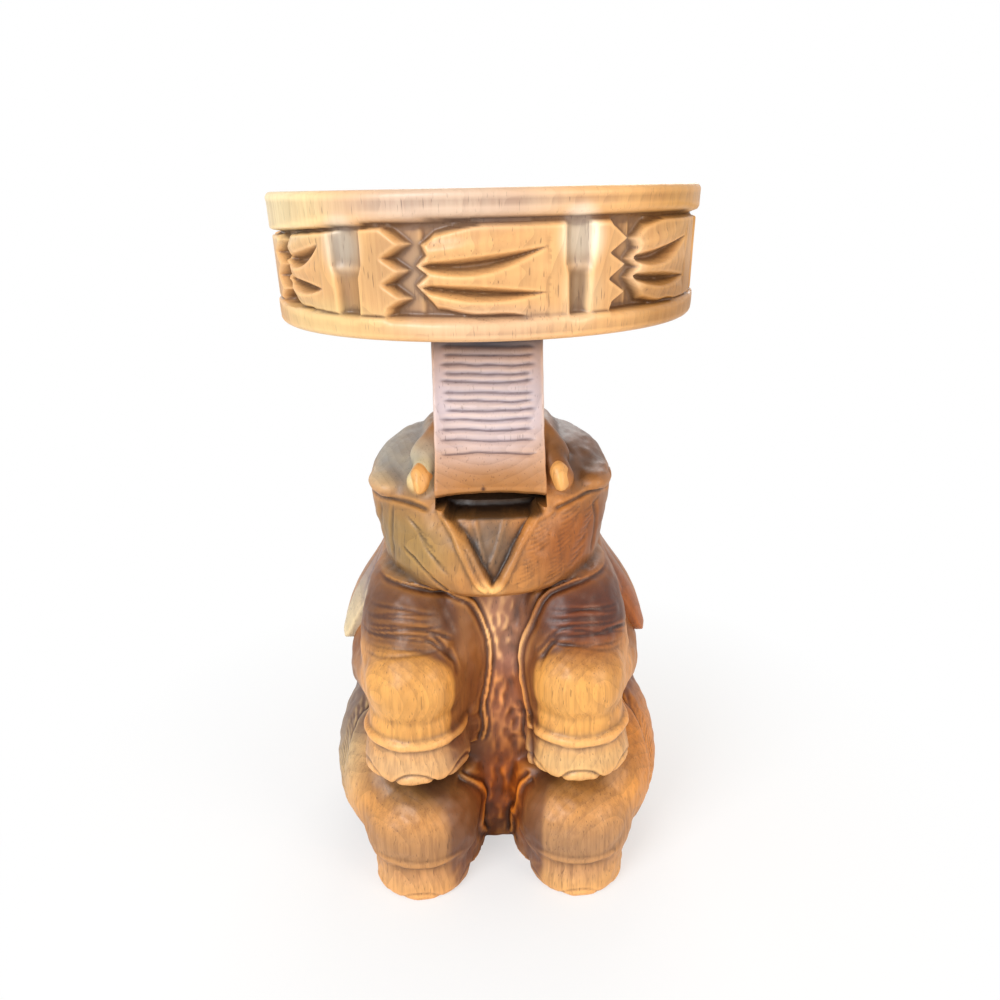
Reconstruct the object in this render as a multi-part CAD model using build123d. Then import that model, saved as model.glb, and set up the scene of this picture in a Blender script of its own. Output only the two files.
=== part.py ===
from build123d import *
import os
from math import asin, atan2, cos, degrees, radians, sin

# Carved wooden elephant stool: a sitting elephant holds a round seat on its raised trunk.
# Millimetres. +Z is up, the elephant faces -Y and its left side is at -X in the front view.
# The origin is on the floor under the middle of the seat.

# ---------------------------------------------------------------- seat
SEAT_RADIUS = 152
SEAT_THICKNESS = 86
SEAT_FOOT_RADIUS = 147       # the side draws in a little towards the underside
SEAT_TOP_ROUND = 4
SEAT_FOOT_ROUND = 5
RIM_HEIGHT = 22              # plain band above the frieze
BASE_BAND_HEIGHT = 17        # plain band below the frieze
SHADOW_GROOVE_DEPTH = 8      # undercut that parts the rim from the frieze
SHADOW_GROOVE_HEIGHT = 4
FRIEZE_UNITS = 7
FRIEZE_START = -33           # degrees from the front to the first flute
FLUTE_WIDTH = 20
FLUTE_DEPTH = 5
PLATE_WIDTH = 24             # notched plate between a flute and the carved hollow
HOLLOW_WIDTH = 11
HOLLOW_DEPTH = 9
NOTCH_DEPTH = 10
GOUGE_LENGTH = 62            # thorn shaped cuts that part the rays
GOUGE_WIDTH = 8
GOUGE_DEPTH = 8              # at the hollow
GOUGE_TIP_DEPTH = 1
GOUGE_RISE = 6               # how far a ray climbs along its length
GOUGE_START = 2              # how far a cut begins inside the hollow

# ---------------------------------------------------------------- stack of blocks, floor to seat
TORSO_HEIGHT = 244
JAW_HEIGHT = 56
BROW_HEIGHT = 35
TRUNK_HEIGHT = 122

# ---------------------------------------------------------------- trunk
TRUNK_WIDTH = 77
TRUNK_FRONT_TOP = 62         # front face ahead of the axis at the seat
TRUNK_FRONT_MIDDLE = 69
TRUNK_FRONT_LOW = 96         # front face just above the mouth
TRUNK_LIP_RADIUS = 11
TRUNK_BACK_TOP = 40
TRUNK_BACK_MIDDLE = 46
TRUNK_CORNER_ROUND = 3
TRUNK_NAPE_ROUND = 9         # softer corners behind
GROOVE_PITCH = 6.4
GROOVE_WIDTH = 66
GROOVE_RADIUS = 2.4
GROOVE_DEPTH = 1.3
GROOVE_COUNT = 12

# ---------------------------------------------------------------- head
JAW_HALF_WIDTH = 77          # at the neck plane
CHEEK_HALF_WIDTH = 84
HEAD_HALF_WIDTH = 92
HEAD_FRONT = 106             # cheeks ahead of the axis at the mouth
CHIN_FRONT = 119
HEAD_BACK = 66
CHEEK_LEVEL = 16             # above the neck plane
CROWN_HALF_WIDTH = 46
CROWN_FRONT = 62
CROWN_BACK = 52
MOUTH_WIDTH = 70
MOUTH_HEIGHT = 9
MOUTH_DEPTH = 42
LIP_DROP = 42                # depth of the V between the lower lips
TONGUE_SINK = 11
LIP_WIDTH = 4
NECK_HALF_WIDTH = 83         # neck that joins head and back, at the neck plane
NECK_FRONT = 51
NECK_BACK = 78
NECK_SPREAD = 4              # how much it widens from the head down to the back
NECK_REACH = 24              # how far it runs into head and back

# ---------------------------------------------------------------- folds of skin on the forehead
FOLD_OFFSET = 50             # fold round the tusk, from the middle plane
FOLD_AHEAD = 68
FOLD_RISE = 16               # above the brow plane
FOLD_SIZE = (13, 24, 17)
ROOT_OFFSET = 46             # spread root of the trunk
ROOT_AHEAD = 44
ROOT_RISE = 29
ROOT_SIZE = (13, 34, 13)
EYEBROW_OFFSET = 72
EYEBROW_AHEAD = 46
EYEBROW_RISE = 9
EYEBROW_SIZE = (18, 30, 10)

# ---------------------------------------------------------------- tusks
TUSK_WIDTH = 19
TUSK_HEIGHT = 32
TUSK_LENGTH = 20
TUSK_SEAT = 76               # flat behind the tusk, ahead of the axis
TUSK_LEVEL = 20              # centre above the brow plane
TUSK_LEAN = 6                # degrees that the tip points outwards
TUSK_GAP = 1.5               # between tusk and trunk
TENON_DIAMETER = 10
TENON_LENGTH = 18

# ---------------------------------------------------------------- torso
BASE_HALF_WIDTH = 112
BASE_HALF_DEPTH = 108
RUMP_LEVEL = 72
RUMP_HALF_WIDTH = 126
RUMP_HALF_DEPTH = 131
WAIST_LEVEL = 142
WAIST_HALF_WIDTH = 112
WAIST_HALF_DEPTH = 118
BACK_DROP = 48               # level of the shoulder blades below the neck
BACK_HALF_WIDTH = 98
BACK_HALF_DEPTH = 98
COLLAR_HALF_WIDTH = 78
COLLAR_HALF_DEPTH = 70
HAUNCH_OFFSET = 81           # egg of each haunch
HAUNCH_AHEAD = 22
HAUNCH_LEVEL = 66
HAUNCH_SIZE = (51, 98, 60)
TAIL_RADIUS = 7
TAIL_SINK = 2                # how deep its middle lies under the back
TAIL_TOP_LEVEL = 146
TAIL_FOOT_LEVEL = 30
GLUE_PLANE = 72              # sawn front of the torso, ahead of the axis
BELLY_FRONT = 88             # belly strip ahead of the axis
BELLY_BASE_HALF_WIDTH = 11
BELLY_FOOT_HALF_WIDTH = 9
BELLY_FOOT_LEVEL = 45
BELLY_WIDE_HALF_WIDTH = 20
BELLY_WIDE_LEVEL = 100
BELLY_NARROW_HALF_WIDTH = 11
BELLY_NARROW_LEVEL = 180
BELLY_TOP_HALF_WIDTH = 18

# ---------------------------------------------------------------- legs
LEG_OFFSET = 60              # leg centre from the middle plane
LEG_AHEAD = 99               # leg centre ahead of the axis
KNEE_RADIUS = 35
KNEE_LEVEL = 170
KNEE_AHEAD = 102
SHOULDER_TOP_HALF_WIDTH = 36
SHOULDER_HALF_WIDTH = 49
SHOULDER_DROP = 40           # fullest part of the shoulder below the neck
SHOULDER_REACH = 22          # shoulder ahead of the leg centre
BLADE_OFFSET = 70            # egg of the shoulder blade
BLADE_AHEAD = 38
BLADE_SIZE = (40, 54, 40)
ARM_HALF_WIDTH = 38
ARM_LEVEL = 140
UPPER_ARM_SHIFT = 11         # socket of the upper arm, outwards and down from the blade
ELBOW_OFFSET = 87
ELBOW_AHEAD = 36
ELBOW_LEVEL = 152
ELBOW_RADIUS = 33
INNER_OFFSET = 31            # fuller inner side of a leg, beside the belly
INNER_HALF_WIDTH = 20
INNER_AHEAD = 104
FOREFOOT_BOTTOM = 103
LEG_GAP = 0.3                # between the hind leg and what lies over it
FOREFOOT_HEIGHT = 28
FOREFOOT_RADIUS = 39
ANKLE_RADIUS = 33
CUFF_RADIUS = 4.5
THIGH_HALF_WIDTH = 46
THIGH_HALF_DEPTH = 42
THIGH_HALF_HEIGHT = 40
THIGH_LEVEL = 48
HINDFOOT_HEIGHT = 32
HINDFOOT_RADIUS = 40
TOE_RADIUS = 12
TOE_DEPTH = 2
SOLE_ROUND = 5

# ---------------------------------------------------------------- ears
EAR_THICKNESS = 11
EAR_HALF_DEPTH = 112         # how the ear wraps round the body, seen from above
EAR_MIDDLE = 4               # middle of that curve behind the axis
EAR_FALL = (                 # above the neck, and outer face from the middle plane
    (62, 79), (36, 80), (8, 84), (-14, 93.5), (-34, 107.5), (-56, 119), (-84, 126.5), (-108, 128))
EAR_CENTRE_BACK = 22         # centre of the fan behind the axis
EAR_CENTRE_DROP = 23         # and below the neck
EAR_HALF_LENGTH = 64
EAR_HALF_HEIGHT = 72
EAR_SCALLOPS = 14
EAR_SCALLOP_RISE = 3.5
EAR_RIB_WIDTH = 3
EAR_RIB_DEPTH = 2
EAR_ROOT_RISE = 34           # where the ribs meet, above the neck

# ---------------------------------------------------------------- dowels and fits
DOWEL_CLEARANCE = 0.15       # glue gap round a dowel
DOWEL_END_GAP = 0.5          # glue gap at each end of a dowel
BED_CLEARANCE = 0.3          # behind and round an ear, and round a tusk
SEAT_DOWEL_DIAMETER = 16
SEAT_DOWEL_LENGTH = 70
SEAT_DOWEL_SPACING = 40
SEAT_DOWEL_AHEAD = 12        # middle of the two ahead of the axis
TRUNK_DOWEL_DIAMETER = 12
TRUNK_DOWEL_LENGTH = 44
TRUNK_DOWEL_SPACING = 44
TRUNK_DOWEL_AHEAD = 8
BROW_DOWEL_DIAMETER = 12
BROW_DOWEL_DEPTH = 22        # how far it enters each brow block
BROW_DOWEL_SPACING = 60
BROW_DOWEL_RISE = 13.5       # above the brow plane
NECK_DOWEL_DIAMETER = 16
NECK_DOWEL_LENGTH = 64
NECK_DOWEL_SPACING = 84
LEG_DOWEL_DIAMETER = 12
LEG_DOWEL_LENGTH = 48
LEG_DOWEL_SPACING = 40
EAR_DOWEL_DIAMETER = 6
EAR_DOWEL_LENGTH = 20
EAR_DOWEL_DEPTH = 6          # how far it enters the ear
EAR_DOWEL_SPACING = 56

# ---------------------------------------------------------------- levels that follow
NECK_Z = TORSO_HEIGHT
BROW_Z = NECK_Z + JAW_HEIGHT
CROWN_Z = BROW_Z + BROW_HEIGHT
SEAT_Z = BROW_Z + TRUNK_HEIGHT
SEAT_TOP_Z = SEAT_Z + SEAT_THICKNESS
FRIEZE_LOW_Z = SEAT_Z + BASE_BAND_HEIGHT
FRIEZE_HIGH_Z = SEAT_TOP_Z - RIM_HEIGHT
FRIEZE_MIDDLE_Z = (FRIEZE_LOW_Z + FRIEZE_HIGH_Z) / 2
FRIEZE_HEIGHT = FRIEZE_HIGH_Z - FRIEZE_LOW_Z
FAR = 400                    # reach of a cutter that has to pass everything

os.makedirs("parts", exist_ok=True)


def section(level, half_width, front, back):
    """Level oval that reaches from front (towards -Y) to back."""
    middle = (back - front) / 2
    return Pos(0, middle, level) * Ellipse(half_width, (back + front) / 2)


def mirrored(shape):
    return mirror(shape, about=Plane.YZ)


def egg(x, y, z, half_axes):
    """Ball stretched to three half axes."""
    return Pos(x, y, z) * scale(Sphere(1), by=half_axes)


def limb(start, end, radius_start, radius_end):
    """Tapered limb with round ends, turned about the line between its two joints."""
    start, end = Vector(*start), Vector(*end)
    length = (end - start).length
    lean = asin((radius_start - radius_end) / length)

    def on_joint(height, radius, angle):
        return radius * cos(angle), height + radius * sin(angle)

    near = on_joint(0, radius_start, lean)
    far = on_joint(length, radius_end, lean)
    near_end = ThreePointArc((0, -radius_start), on_joint(0, radius_start, (lean - radians(90)) / 2), near)
    far_end = ThreePointArc(far, on_joint(length, radius_end, (lean + radians(90)) / 2),
                            (0, length + radius_end))
    bone = Line((0, length + radius_end), (0, -radius_start))
    half = make_face(Curve() + [near_end, Line(near, far), far_end, bone])
    return Plane(origin=start, z_dir=end - start).location * revolve(Plane.XZ * half, Axis.Z)


def upright_dowel(x, y, joint_z, diameter, length, clearance=0.0, end_gap=0.0):
    """Round dowel across a level joint, half of it in each block."""
    return Pos(x, y, joint_z) * Cylinder(diameter / 2 + clearance, length + 2 * end_gap)


def level_dowel(x, joint_y, z, diameter, length, clearance=0.0, end_gap=0.0):
    """Round dowel across an upright joint plane that faces the front."""
    rod = Cylinder(diameter / 2 + clearance, length + 2 * end_gap)
    return Pos(x, joint_y, z) * Rot(90, 0, 0) * rod


def dowel_group(places, maker, diameter, length):
    """The dowels of one joint, and the blind holes that take them."""
    dowels = [maker(*place, diameter, length) for place in places]
    holes = [maker(*place, diameter, length, DOWEL_CLEARANCE, DOWEL_END_GAP) for place in places]
    return dowels, holes


# ---------------------------------------------------------------- joints
SEAT_DOWELS, SEAT_HOLES = dowel_group(
    [(0, y * SEAT_DOWEL_SPACING / 2 - SEAT_DOWEL_AHEAD, SEAT_Z) for y in (-1, 1)],
    upright_dowel, SEAT_DOWEL_DIAMETER, SEAT_DOWEL_LENGTH)
TRUNK_DOWELS, TRUNK_HOLES = dowel_group(
    [(x * TRUNK_DOWEL_SPACING / 2, -TRUNK_DOWEL_AHEAD, BROW_Z) for x in (-1, 1)],
    upright_dowel, TRUNK_DOWEL_DIAMETER, TRUNK_DOWEL_LENGTH)
NECK_DOWELS, NECK_HOLES = dowel_group(
    [(x * NECK_DOWEL_SPACING / 2, 0, NECK_Z) for x in (-1, 1)],
    upright_dowel, NECK_DOWEL_DIAMETER, NECK_DOWEL_LENGTH)
FORELEG_DOWELS, FORELEG_HOLES = dowel_group(
    [(side * LEG_OFFSET, -GLUE_PLANE, NECK_Z - BACK_DROP + end * LEG_DOWEL_SPACING / 2)
     for side in (-1, 1) for end in (-1, 1)],
    level_dowel, LEG_DOWEL_DIAMETER, LEG_DOWEL_LENGTH)
HIND_LEG_DOWELS, HIND_LEG_HOLES = dowel_group(
    [(side * LEG_OFFSET + end * LEG_DOWEL_SPACING / 2, -GLUE_PLANE, THIGH_LEVEL)
     for side in (-1, 1) for end in (-1, 1)],
    level_dowel, LEG_DOWEL_DIAMETER, LEG_DOWEL_LENGTH)


def brow_dowel(y, clearance=0.0, end_gap=0.0):
    """Dowel that runs from one brow block through the trunk into the other."""
    length = TRUNK_WIDTH + 2 * BROW_DOWEL_DEPTH + 2 * end_gap
    rod = Cylinder(BROW_DOWEL_DIAMETER / 2 + clearance, length)
    return Pos(0, y, BROW_Z + BROW_DOWEL_RISE) * Rot(0, 90, 0) * rod


BROW_DOWEL_PLACES = [end * BROW_DOWEL_SPACING / 2 - TRUNK_DOWEL_AHEAD for end in (-1, 1)]
BROW_DOWELS = [brow_dowel(y) for y in BROW_DOWEL_PLACES]
BROW_HOLES = [brow_dowel(y, DOWEL_CLEARANCE, DOWEL_END_GAP) for y in BROW_DOWEL_PLACES]


# ---------------------------------------------------------------- seat
def side(z):
    """Radius of the seat's side at a level."""
    share = (z - SEAT_Z) / SEAT_THICKNESS
    return SEAT_FOOT_RADIUS + (SEAT_RADIUS - SEAT_FOOT_RADIUS) * share


def seat_blank():
    """Turned blank: rim, shadow groove under it, and the side drawn in to the underside."""
    groove_low = FRIEZE_HIGH_Z - SHADOW_GROOVE_HEIGHT
    outline = Polyline(
        (0, SEAT_Z), (SEAT_FOOT_RADIUS, SEAT_Z),
        (side(groove_low), groove_low),
        (side(FRIEZE_HIGH_Z) - SHADOW_GROOVE_DEPTH, FRIEZE_HIGH_Z - SHADOW_GROOVE_HEIGHT / 4),
        (side(FRIEZE_HIGH_Z), FRIEZE_HIGH_Z),
        (SEAT_RADIUS, SEAT_TOP_Z), (0, SEAT_TOP_Z), close=True)
    blank = revolve(Plane.XZ * make_face(outline), Axis.Z)
    rims = blank.edges().filter_by(GeomType.CIRCLE).group_by(Axis.Z)
    blank = fillet(rims[-1], SEAT_TOP_ROUND)
    rims = blank.edges().filter_by(GeomType.CIRCLE).group_by(Axis.Z)
    return fillet(rims[0], SEAT_FOOT_ROUND)


def side_plane(angle):
    """Plane that touches the seat side at an angle from the front: X runs round it, Y is up."""
    turn = radians(angle)
    outward = Vector(sin(turn), -cos(turn), 0)
    along = Vector(cos(turn), sin(turn), 0)
    origin = outward * side(FRIEZE_MIDDLE_Z) + Vector(0, 0, FRIEZE_MIDDLE_Z)
    return Plane(origin=origin, x_dir=along, z_dir=outward)


def round_angle(distance):
    """Angle of a distance measured round the seat side."""
    return degrees(distance / SEAT_RADIUS)


def flute_cutter(angle):
    """Shallow hollow channel, from band to band."""
    radius = (FLUTE_WIDTH ** 2 / 4 + FLUTE_DEPTH ** 2) / (2 * FLUTE_DEPTH)
    channel = Cylinder(radius, FRIEZE_HEIGHT)
    stand_off = radius - FLUTE_DEPTH
    plane = side_plane(angle)
    return Pos(*(plane.origin + plane.z_dir * stand_off)) * channel


def hollow_cutter(angle):
    """Deep hollow whose near edge is notched into the plate."""
    half = FRIEZE_HEIGHT / 2
    step = FRIEZE_HEIGHT / 6
    outline = Polyline(
        (0, half), (HOLLOW_WIDTH / 3, 2 * step), (-NOTCH_DEPTH, step),
        (HOLLOW_WIDTH / 3, 0), (-NOTCH_DEPTH, -step), (HOLLOW_WIDTH / 3, -2 * step),
        (0, -half), (HOLLOW_WIDTH * 1.6, -half), (HOLLOW_WIDTH, -1.4 * step),
        (HOLLOW_WIDTH, 1.4 * step), (HOLLOW_WIDTH * 1.6, half), close=True)
    face = side_plane(angle) * make_face(outline)
    return extrude(face, amount=HOLLOW_DEPTH, both=True)


def gouge_cutter(angle, height, rise):
    """Thorn shaped cut between two rays: wide and deep at the hollow, shallow at its tip."""
    half_length = GOUGE_LENGTH / 2
    half_width = GOUGE_WIDTH / 2
    middle = height + rise / 3
    tip = (half_length, height + rise)
    upper = ThreePointArc((-half_length, height + half_width), (0, middle + half_width * 0.8), tip)
    lower = ThreePointArc(tip, (0, middle - half_width * 0.8), (-half_length, height - half_width))
    face = make_face(Curve() + [upper, lower, Line(lower @ 1, upper @ 0)])
    fall = half_length ** 2 / (2 * SEAT_RADIUS)
    sink = fall + (GOUGE_DEPTH + GOUGE_TIP_DEPTH) / 2
    slope = degrees(atan2(GOUGE_DEPTH - GOUGE_TIP_DEPTH, GOUGE_LENGTH))
    floor = side_plane(angle).location * Pos(0, 0, -sink) * Rot(0, -slope, 0)
    return extrude(floor * face, amount=3 * GOUGE_DEPTH)


def seat_drum():
    seat = seat_blank()
    cutters = []
    for unit in range(FRIEZE_UNITS):
        flute = FRIEZE_START + unit * 360 / FRIEZE_UNITS
        hollow = flute + round_angle(FLUTE_WIDTH / 2 + PLATE_WIDTH)
        gouge = hollow + round_angle(HOLLOW_WIDTH + GOUGE_LENGTH / 2 - GOUGE_START)
        cutters.append(flute_cutter(flute))
        cutters.append(hollow_cutter(hollow))
        step = FRIEZE_HEIGHT / 4
        cutters.append(gouge_cutter(gouge, step, GOUGE_RISE))
        cutters.append(gouge_cutter(gouge, 0, GOUGE_RISE))
        cutters.append(gouge_cutter(gouge, -step - GOUGE_WIDTH / 2, 0))
    return seat - cutters - SEAT_HOLES


# ---------------------------------------------------------------- trunk
def trunk_front():
    """Front line of the trunk in the side view, from the seat down to the lip."""
    lip_top = BROW_Z + 2 * TRUNK_LIP_RADIUS
    return Spline(
        (-TRUNK_FRONT_TOP, SEAT_Z), (-TRUNK_FRONT_MIDDLE, BROW_Z + TRUNK_HEIGHT / 2),
        (-TRUNK_FRONT_LOW, lip_top), tangents=[(0, -1), (-0.3, -1)])


def trunk():
    front = trunk_front()
    lip_end = (-TRUNK_FRONT_LOW + TRUNK_LIP_RADIUS, BROW_Z)
    lip = ThreePointArc(front @ 1, (-TRUNK_FRONT_LOW - 1, BROW_Z + TRUNK_LIP_RADIUS), lip_end)
    foot = Line(lip_end, (HEAD_BACK, BROW_Z))
    nape = Spline(
        (HEAD_BACK, BROW_Z), (CROWN_BACK, CROWN_Z), (TRUNK_BACK_MIDDLE, CROWN_Z + BROW_HEIGHT),
        (TRUNK_BACK_TOP, SEAT_Z), tangents=[(0, 1), (0, 1)])
    top = Line((TRUNK_BACK_TOP, SEAT_Z), (-TRUNK_FRONT_TOP, SEAT_Z))
    side = make_face(Curve() + [front, lip, foot, nape, top])
    body = extrude(Plane.YZ * side, amount=TRUNK_WIDTH / 2, both=True)
    outer = body.edges().filter_by(Axis.X, reverse=True).filter_by(GeomType.LINE, reverse=True)
    body = fillet(outer.filter_by(lambda edge: edge.center().Y < 0), TRUNK_CORNER_ROUND)
    rear = body.edges().filter_by(Axis.X, reverse=True).filter_by(GeomType.LINE, reverse=True)
    body = fillet(rear.filter_by(lambda edge: edge.center().Y > 0), TRUNK_NAPE_ROUND)
    cutters = []
    for row in range(GROOVE_COUNT):
        z = SEAT_Z - GROOVE_PITCH * (row + 1)
        y = front_at(front, z) - GROOVE_RADIUS + GROOVE_DEPTH
        cutters.append(Pos(0, y, z) * Rot(0, 90, 0) * Cylinder(GROOVE_RADIUS, GROOVE_WIDTH))
    return body - cutters - SEAT_HOLES - TRUNK_HOLES - BROW_HOLES


def front_at(front, z):
    """Y of the trunk's front line at a level, by halving."""
    low, high = 0.0, 1.0
    for _ in range(30):
        middle = (low + high) / 2
        if (front @ middle).Y > z:
            low = middle
        else:
            high = middle
    return (front @ low).X


# ---------------------------------------------------------------- head
def neck_form():
    """Neck that carries the line of the head over into the back."""
    return loft([
        section(NECK_Z - NECK_REACH, NECK_HALF_WIDTH + NECK_SPREAD, NECK_FRONT + NECK_SPREAD,
                NECK_BACK + NECK_SPREAD),
        section(NECK_Z, NECK_HALF_WIDTH, NECK_FRONT, NECK_BACK),
        section(NECK_Z + NECK_REACH, NECK_HALF_WIDTH - NECK_SPREAD, NECK_FRONT - 2 * NECK_SPREAD,
                NECK_BACK - 3 * NECK_SPREAD)])


def head_form():
    """Whole head: cheeks that widen to the brow plane, then a crown that closes over it."""
    lower = loft([
        section(NECK_Z, JAW_HALF_WIDTH, CHIN_FRONT - 3, HEAD_BACK - 6),
        section(NECK_Z + CHEEK_LEVEL, CHEEK_HALF_WIDTH, CHIN_FRONT, HEAD_BACK - 2),
        section(BROW_Z, HEAD_HALF_WIDTH, HEAD_FRONT, HEAD_BACK)])
    upper = loft([
        section(BROW_Z, HEAD_HALF_WIDTH, HEAD_FRONT, HEAD_BACK),
        section(BROW_Z + BROW_HEIGHT / 2, HEAD_HALF_WIDTH - 9, HEAD_FRONT - 14, HEAD_BACK - 4),
        section(BROW_Z + BROW_HEIGHT * 0.85, CROWN_HALF_WIDTH + 17, CROWN_FRONT + 12, CROWN_BACK + 6),
        section(CROWN_Z, CROWN_HALF_WIDTH, CROWN_FRONT, CROWN_BACK)])
    neck = neck_form() & Pos(0, 0, NECK_Z + FAR / 2) * Box(FAR, FAR, FAR)
    return lower + neck, upper


def folds():
    """Swellings of the right brow block: round the tusk, beside the trunk and over the eye."""
    round_tusk = egg(FOLD_OFFSET, -FOLD_AHEAD, BROW_Z + FOLD_RISE, FOLD_SIZE)
    trunk_root = egg(ROOT_OFFSET, -ROOT_AHEAD, BROW_Z + ROOT_RISE, ROOT_SIZE)
    eyebrow = egg(EYEBROW_OFFSET, -EYEBROW_AHEAD, BROW_Z + EYEBROW_RISE, EYEBROW_SIZE)
    return round_tusk + trunk_root + eyebrow


def mouth_cutters():
    """Slot under the trunk, and the V between the lower lips with its sunk tongue."""
    slot = Pos(0, -HEAD_FRONT - 20 + (MOUTH_DEPTH + 20) / 2, BROW_Z - MOUTH_HEIGHT / 2)
    slot = slot * Box(MOUTH_WIDTH, MOUTH_DEPTH + 20, MOUTH_HEIGHT)
    half = MOUTH_WIDTH / 2 - LIP_WIDTH
    outline = Polyline((-half, 0), (half, 0), (LIP_WIDTH, -LIP_DROP), (-LIP_WIDTH, -LIP_DROP),
                       close=True)
    plane = Plane(origin=(0, -CHIN_FRONT + TONGUE_SINK, BROW_Z - MOUTH_HEIGHT / 2),
                  x_dir=(1, 0, 0), z_dir=(0, -1, 0))
    tongue = extrude(plane * make_face(outline), amount=4 * TONGUE_SINK)
    return [slot, tongue]


def jaw(lower, ear_beds):
    return lower - mouth_cutters() - TRUNK_HOLES - NECK_HOLES - ear_beds


def brow(upper, ear_beds, tusk_cut):
    """Right block of the forehead, flat against the trunk, with a seat for its tusk."""
    keep = Pos(TRUNK_WIDTH / 2 + FAR / 2, 0, BROW_Z + FAR / 2) * Box(FAR, FAR, FAR)
    return ((upper + folds()) & keep) - BROW_HOLES - ear_beds - tusk_cut


# ---------------------------------------------------------------- tusks
def tusk_place():
    """Frame of the right tusk: Z points out of its seat, Y is up."""
    turn = radians(TUSK_LEAN)
    x = TRUNK_WIDTH / 2 + TUSK_WIDTH / 2 + TUSK_GAP
    return Plane(origin=(x, -TUSK_SEAT, BROW_Z + TUSK_LEVEL),
                 x_dir=(cos(turn), sin(turn), 0), z_dir=(sin(turn), -cos(turn), 0))


def tusk():
    """Short peg, oval and drawn in to its cut tip, with a round tenon behind."""
    place = tusk_place()
    root = place * Ellipse(TUSK_WIDTH / 2, TUSK_HEIGHT / 2)
    belly = place.offset(TUSK_LENGTH * 0.6) * Ellipse(TUSK_WIDTH * 0.44, TUSK_HEIGHT * 0.42)
    tip = place.offset(TUSK_LENGTH) * Ellipse(TUSK_WIDTH * 0.26, TUSK_HEIGHT * 0.26)
    tenon = place.offset(-TENON_LENGTH) * Circle(TENON_DIAMETER / 2)
    return loft([root, belly, tip]) + extrude(tenon, amount=TENON_LENGTH)


def tusk_cutter():
    """Flat seat in the fold of skin, and the blind hole for the tenon."""
    place = tusk_place()
    rim = Ellipse(TUSK_WIDTH / 2 + BED_CLEARANCE, TUSK_HEIGHT / 2 + BED_CLEARANCE)
    seat = extrude(place * rim, amount=2 * TUSK_LENGTH)
    hole = place.offset(-TENON_LENGTH - DOWEL_END_GAP)
    depth = TENON_LENGTH + 2 * DOWEL_END_GAP
    return [seat, extrude(hole * Circle(TENON_DIAMETER / 2 + DOWEL_CLEARANCE), amount=depth)]


# ---------------------------------------------------------------- ears
def ear_wrap(inset):
    """Body whose side is the outer face of both ears, moved inwards by inset."""
    return loft([
        Pos(0, EAR_MIDDLE, NECK_Z + rise) * Ellipse(face - inset, EAR_HALF_DEPTH - inset)
        for rise, face in reversed(EAR_FALL)])


def ear_rim(grow=0.0):
    """Side view of the fan: an oval whose edge is a row of scallops; and the scallops' ends."""
    middle = Vector(EAR_CENTRE_BACK, NECK_Z - EAR_CENTRE_DROP)
    ends = []
    for step in range(EAR_SCALLOPS):
        turn = radians(90 + 360 * step / EAR_SCALLOPS)
        out = Vector((EAR_HALF_LENGTH + grow) * cos(turn), (EAR_HALF_HEIGHT + grow) * sin(turn))
        ends.append(middle + out)
    arcs = []
    for start, end in zip(ends, ends[1:] + ends[:1]):
        half_way = (start + end) / 2
        crest = half_way + (half_way - middle).normalized() * 2 * EAR_SCALLOP_RISE
        arcs.append(ThreePointArc(start, crest, end))
    return make_face(Curve() + arcs), ends


def sideways(face, reach=FAR / 2):
    """Draws a side view, with X to the back and Y up, out to the right."""
    return extrude(Plane.YZ * face, amount=reach)


def ear():
    rim, ends = ear_rim()
    shell = (ear_wrap(0) - ear_wrap(EAR_THICKNESS)) & sideways(rim)
    root = Vector(EAR_CENTRE_BACK - EAR_HALF_LENGTH / 4, NECK_Z + EAR_ROOT_RISE)
    slots = []
    for end in ends:
        if end.Y > root.Y:
            continue
        line = end - root
        middle = root + line * 0.58
        turn = degrees(atan2(line.Y, line.X))
        slot = Pos(middle.X, middle.Y) * Rot(0, 0, turn) * Rectangle(line.length * 0.7, EAR_RIB_WIDTH)
        slots.append(sideways(slot))
    grooves = Part() + slots - ear_wrap(EAR_RIB_DEPTH)
    return shell - grooves - ear_dowel_rods(DOWEL_CLEARANCE, DOWEL_END_GAP)


def ear_inner_face(rise):
    """Inner face of the ear from the middle plane, at a height above the neck.

    Beyond the first and the last level the face runs on straight.
    """
    levels = sorted(EAR_FALL)
    for (low, face_low), (high, face_high) in zip(levels, levels[1:]):
        if rise <= high:
            break
    share = (rise - low) / (high - low)
    return face_low + share * (face_high - face_low) - EAR_THICKNESS


def ear_dowel_rods(clearance=0.0, end_gap=0.0):
    """Level dowels that run out of the body into the ear."""
    rods = []
    for end in (-1, 1):
        rise = -EAR_CENTRE_DROP + end * EAR_DOWEL_SPACING / 2
        x = ear_inner_face(rise) + EAR_DOWEL_DEPTH - EAR_DOWEL_LENGTH / 2
        rod = Cylinder(EAR_DOWEL_DIAMETER / 2 + clearance, EAR_DOWEL_LENGTH + 2 * end_gap)
        rods.append(Pos(x, EAR_MIDDLE, NECK_Z + rise) * Rot(0, 90, 0) * rod)
    return rods


def ear_bed():
    """Wood that is cut away from head, back and leg so that the ear lies on its own curve."""
    rim, _ = ear_rim(BED_CLEARANCE)
    return sideways(rim) - ear_wrap(EAR_THICKNESS + BED_CLEARANCE)


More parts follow.
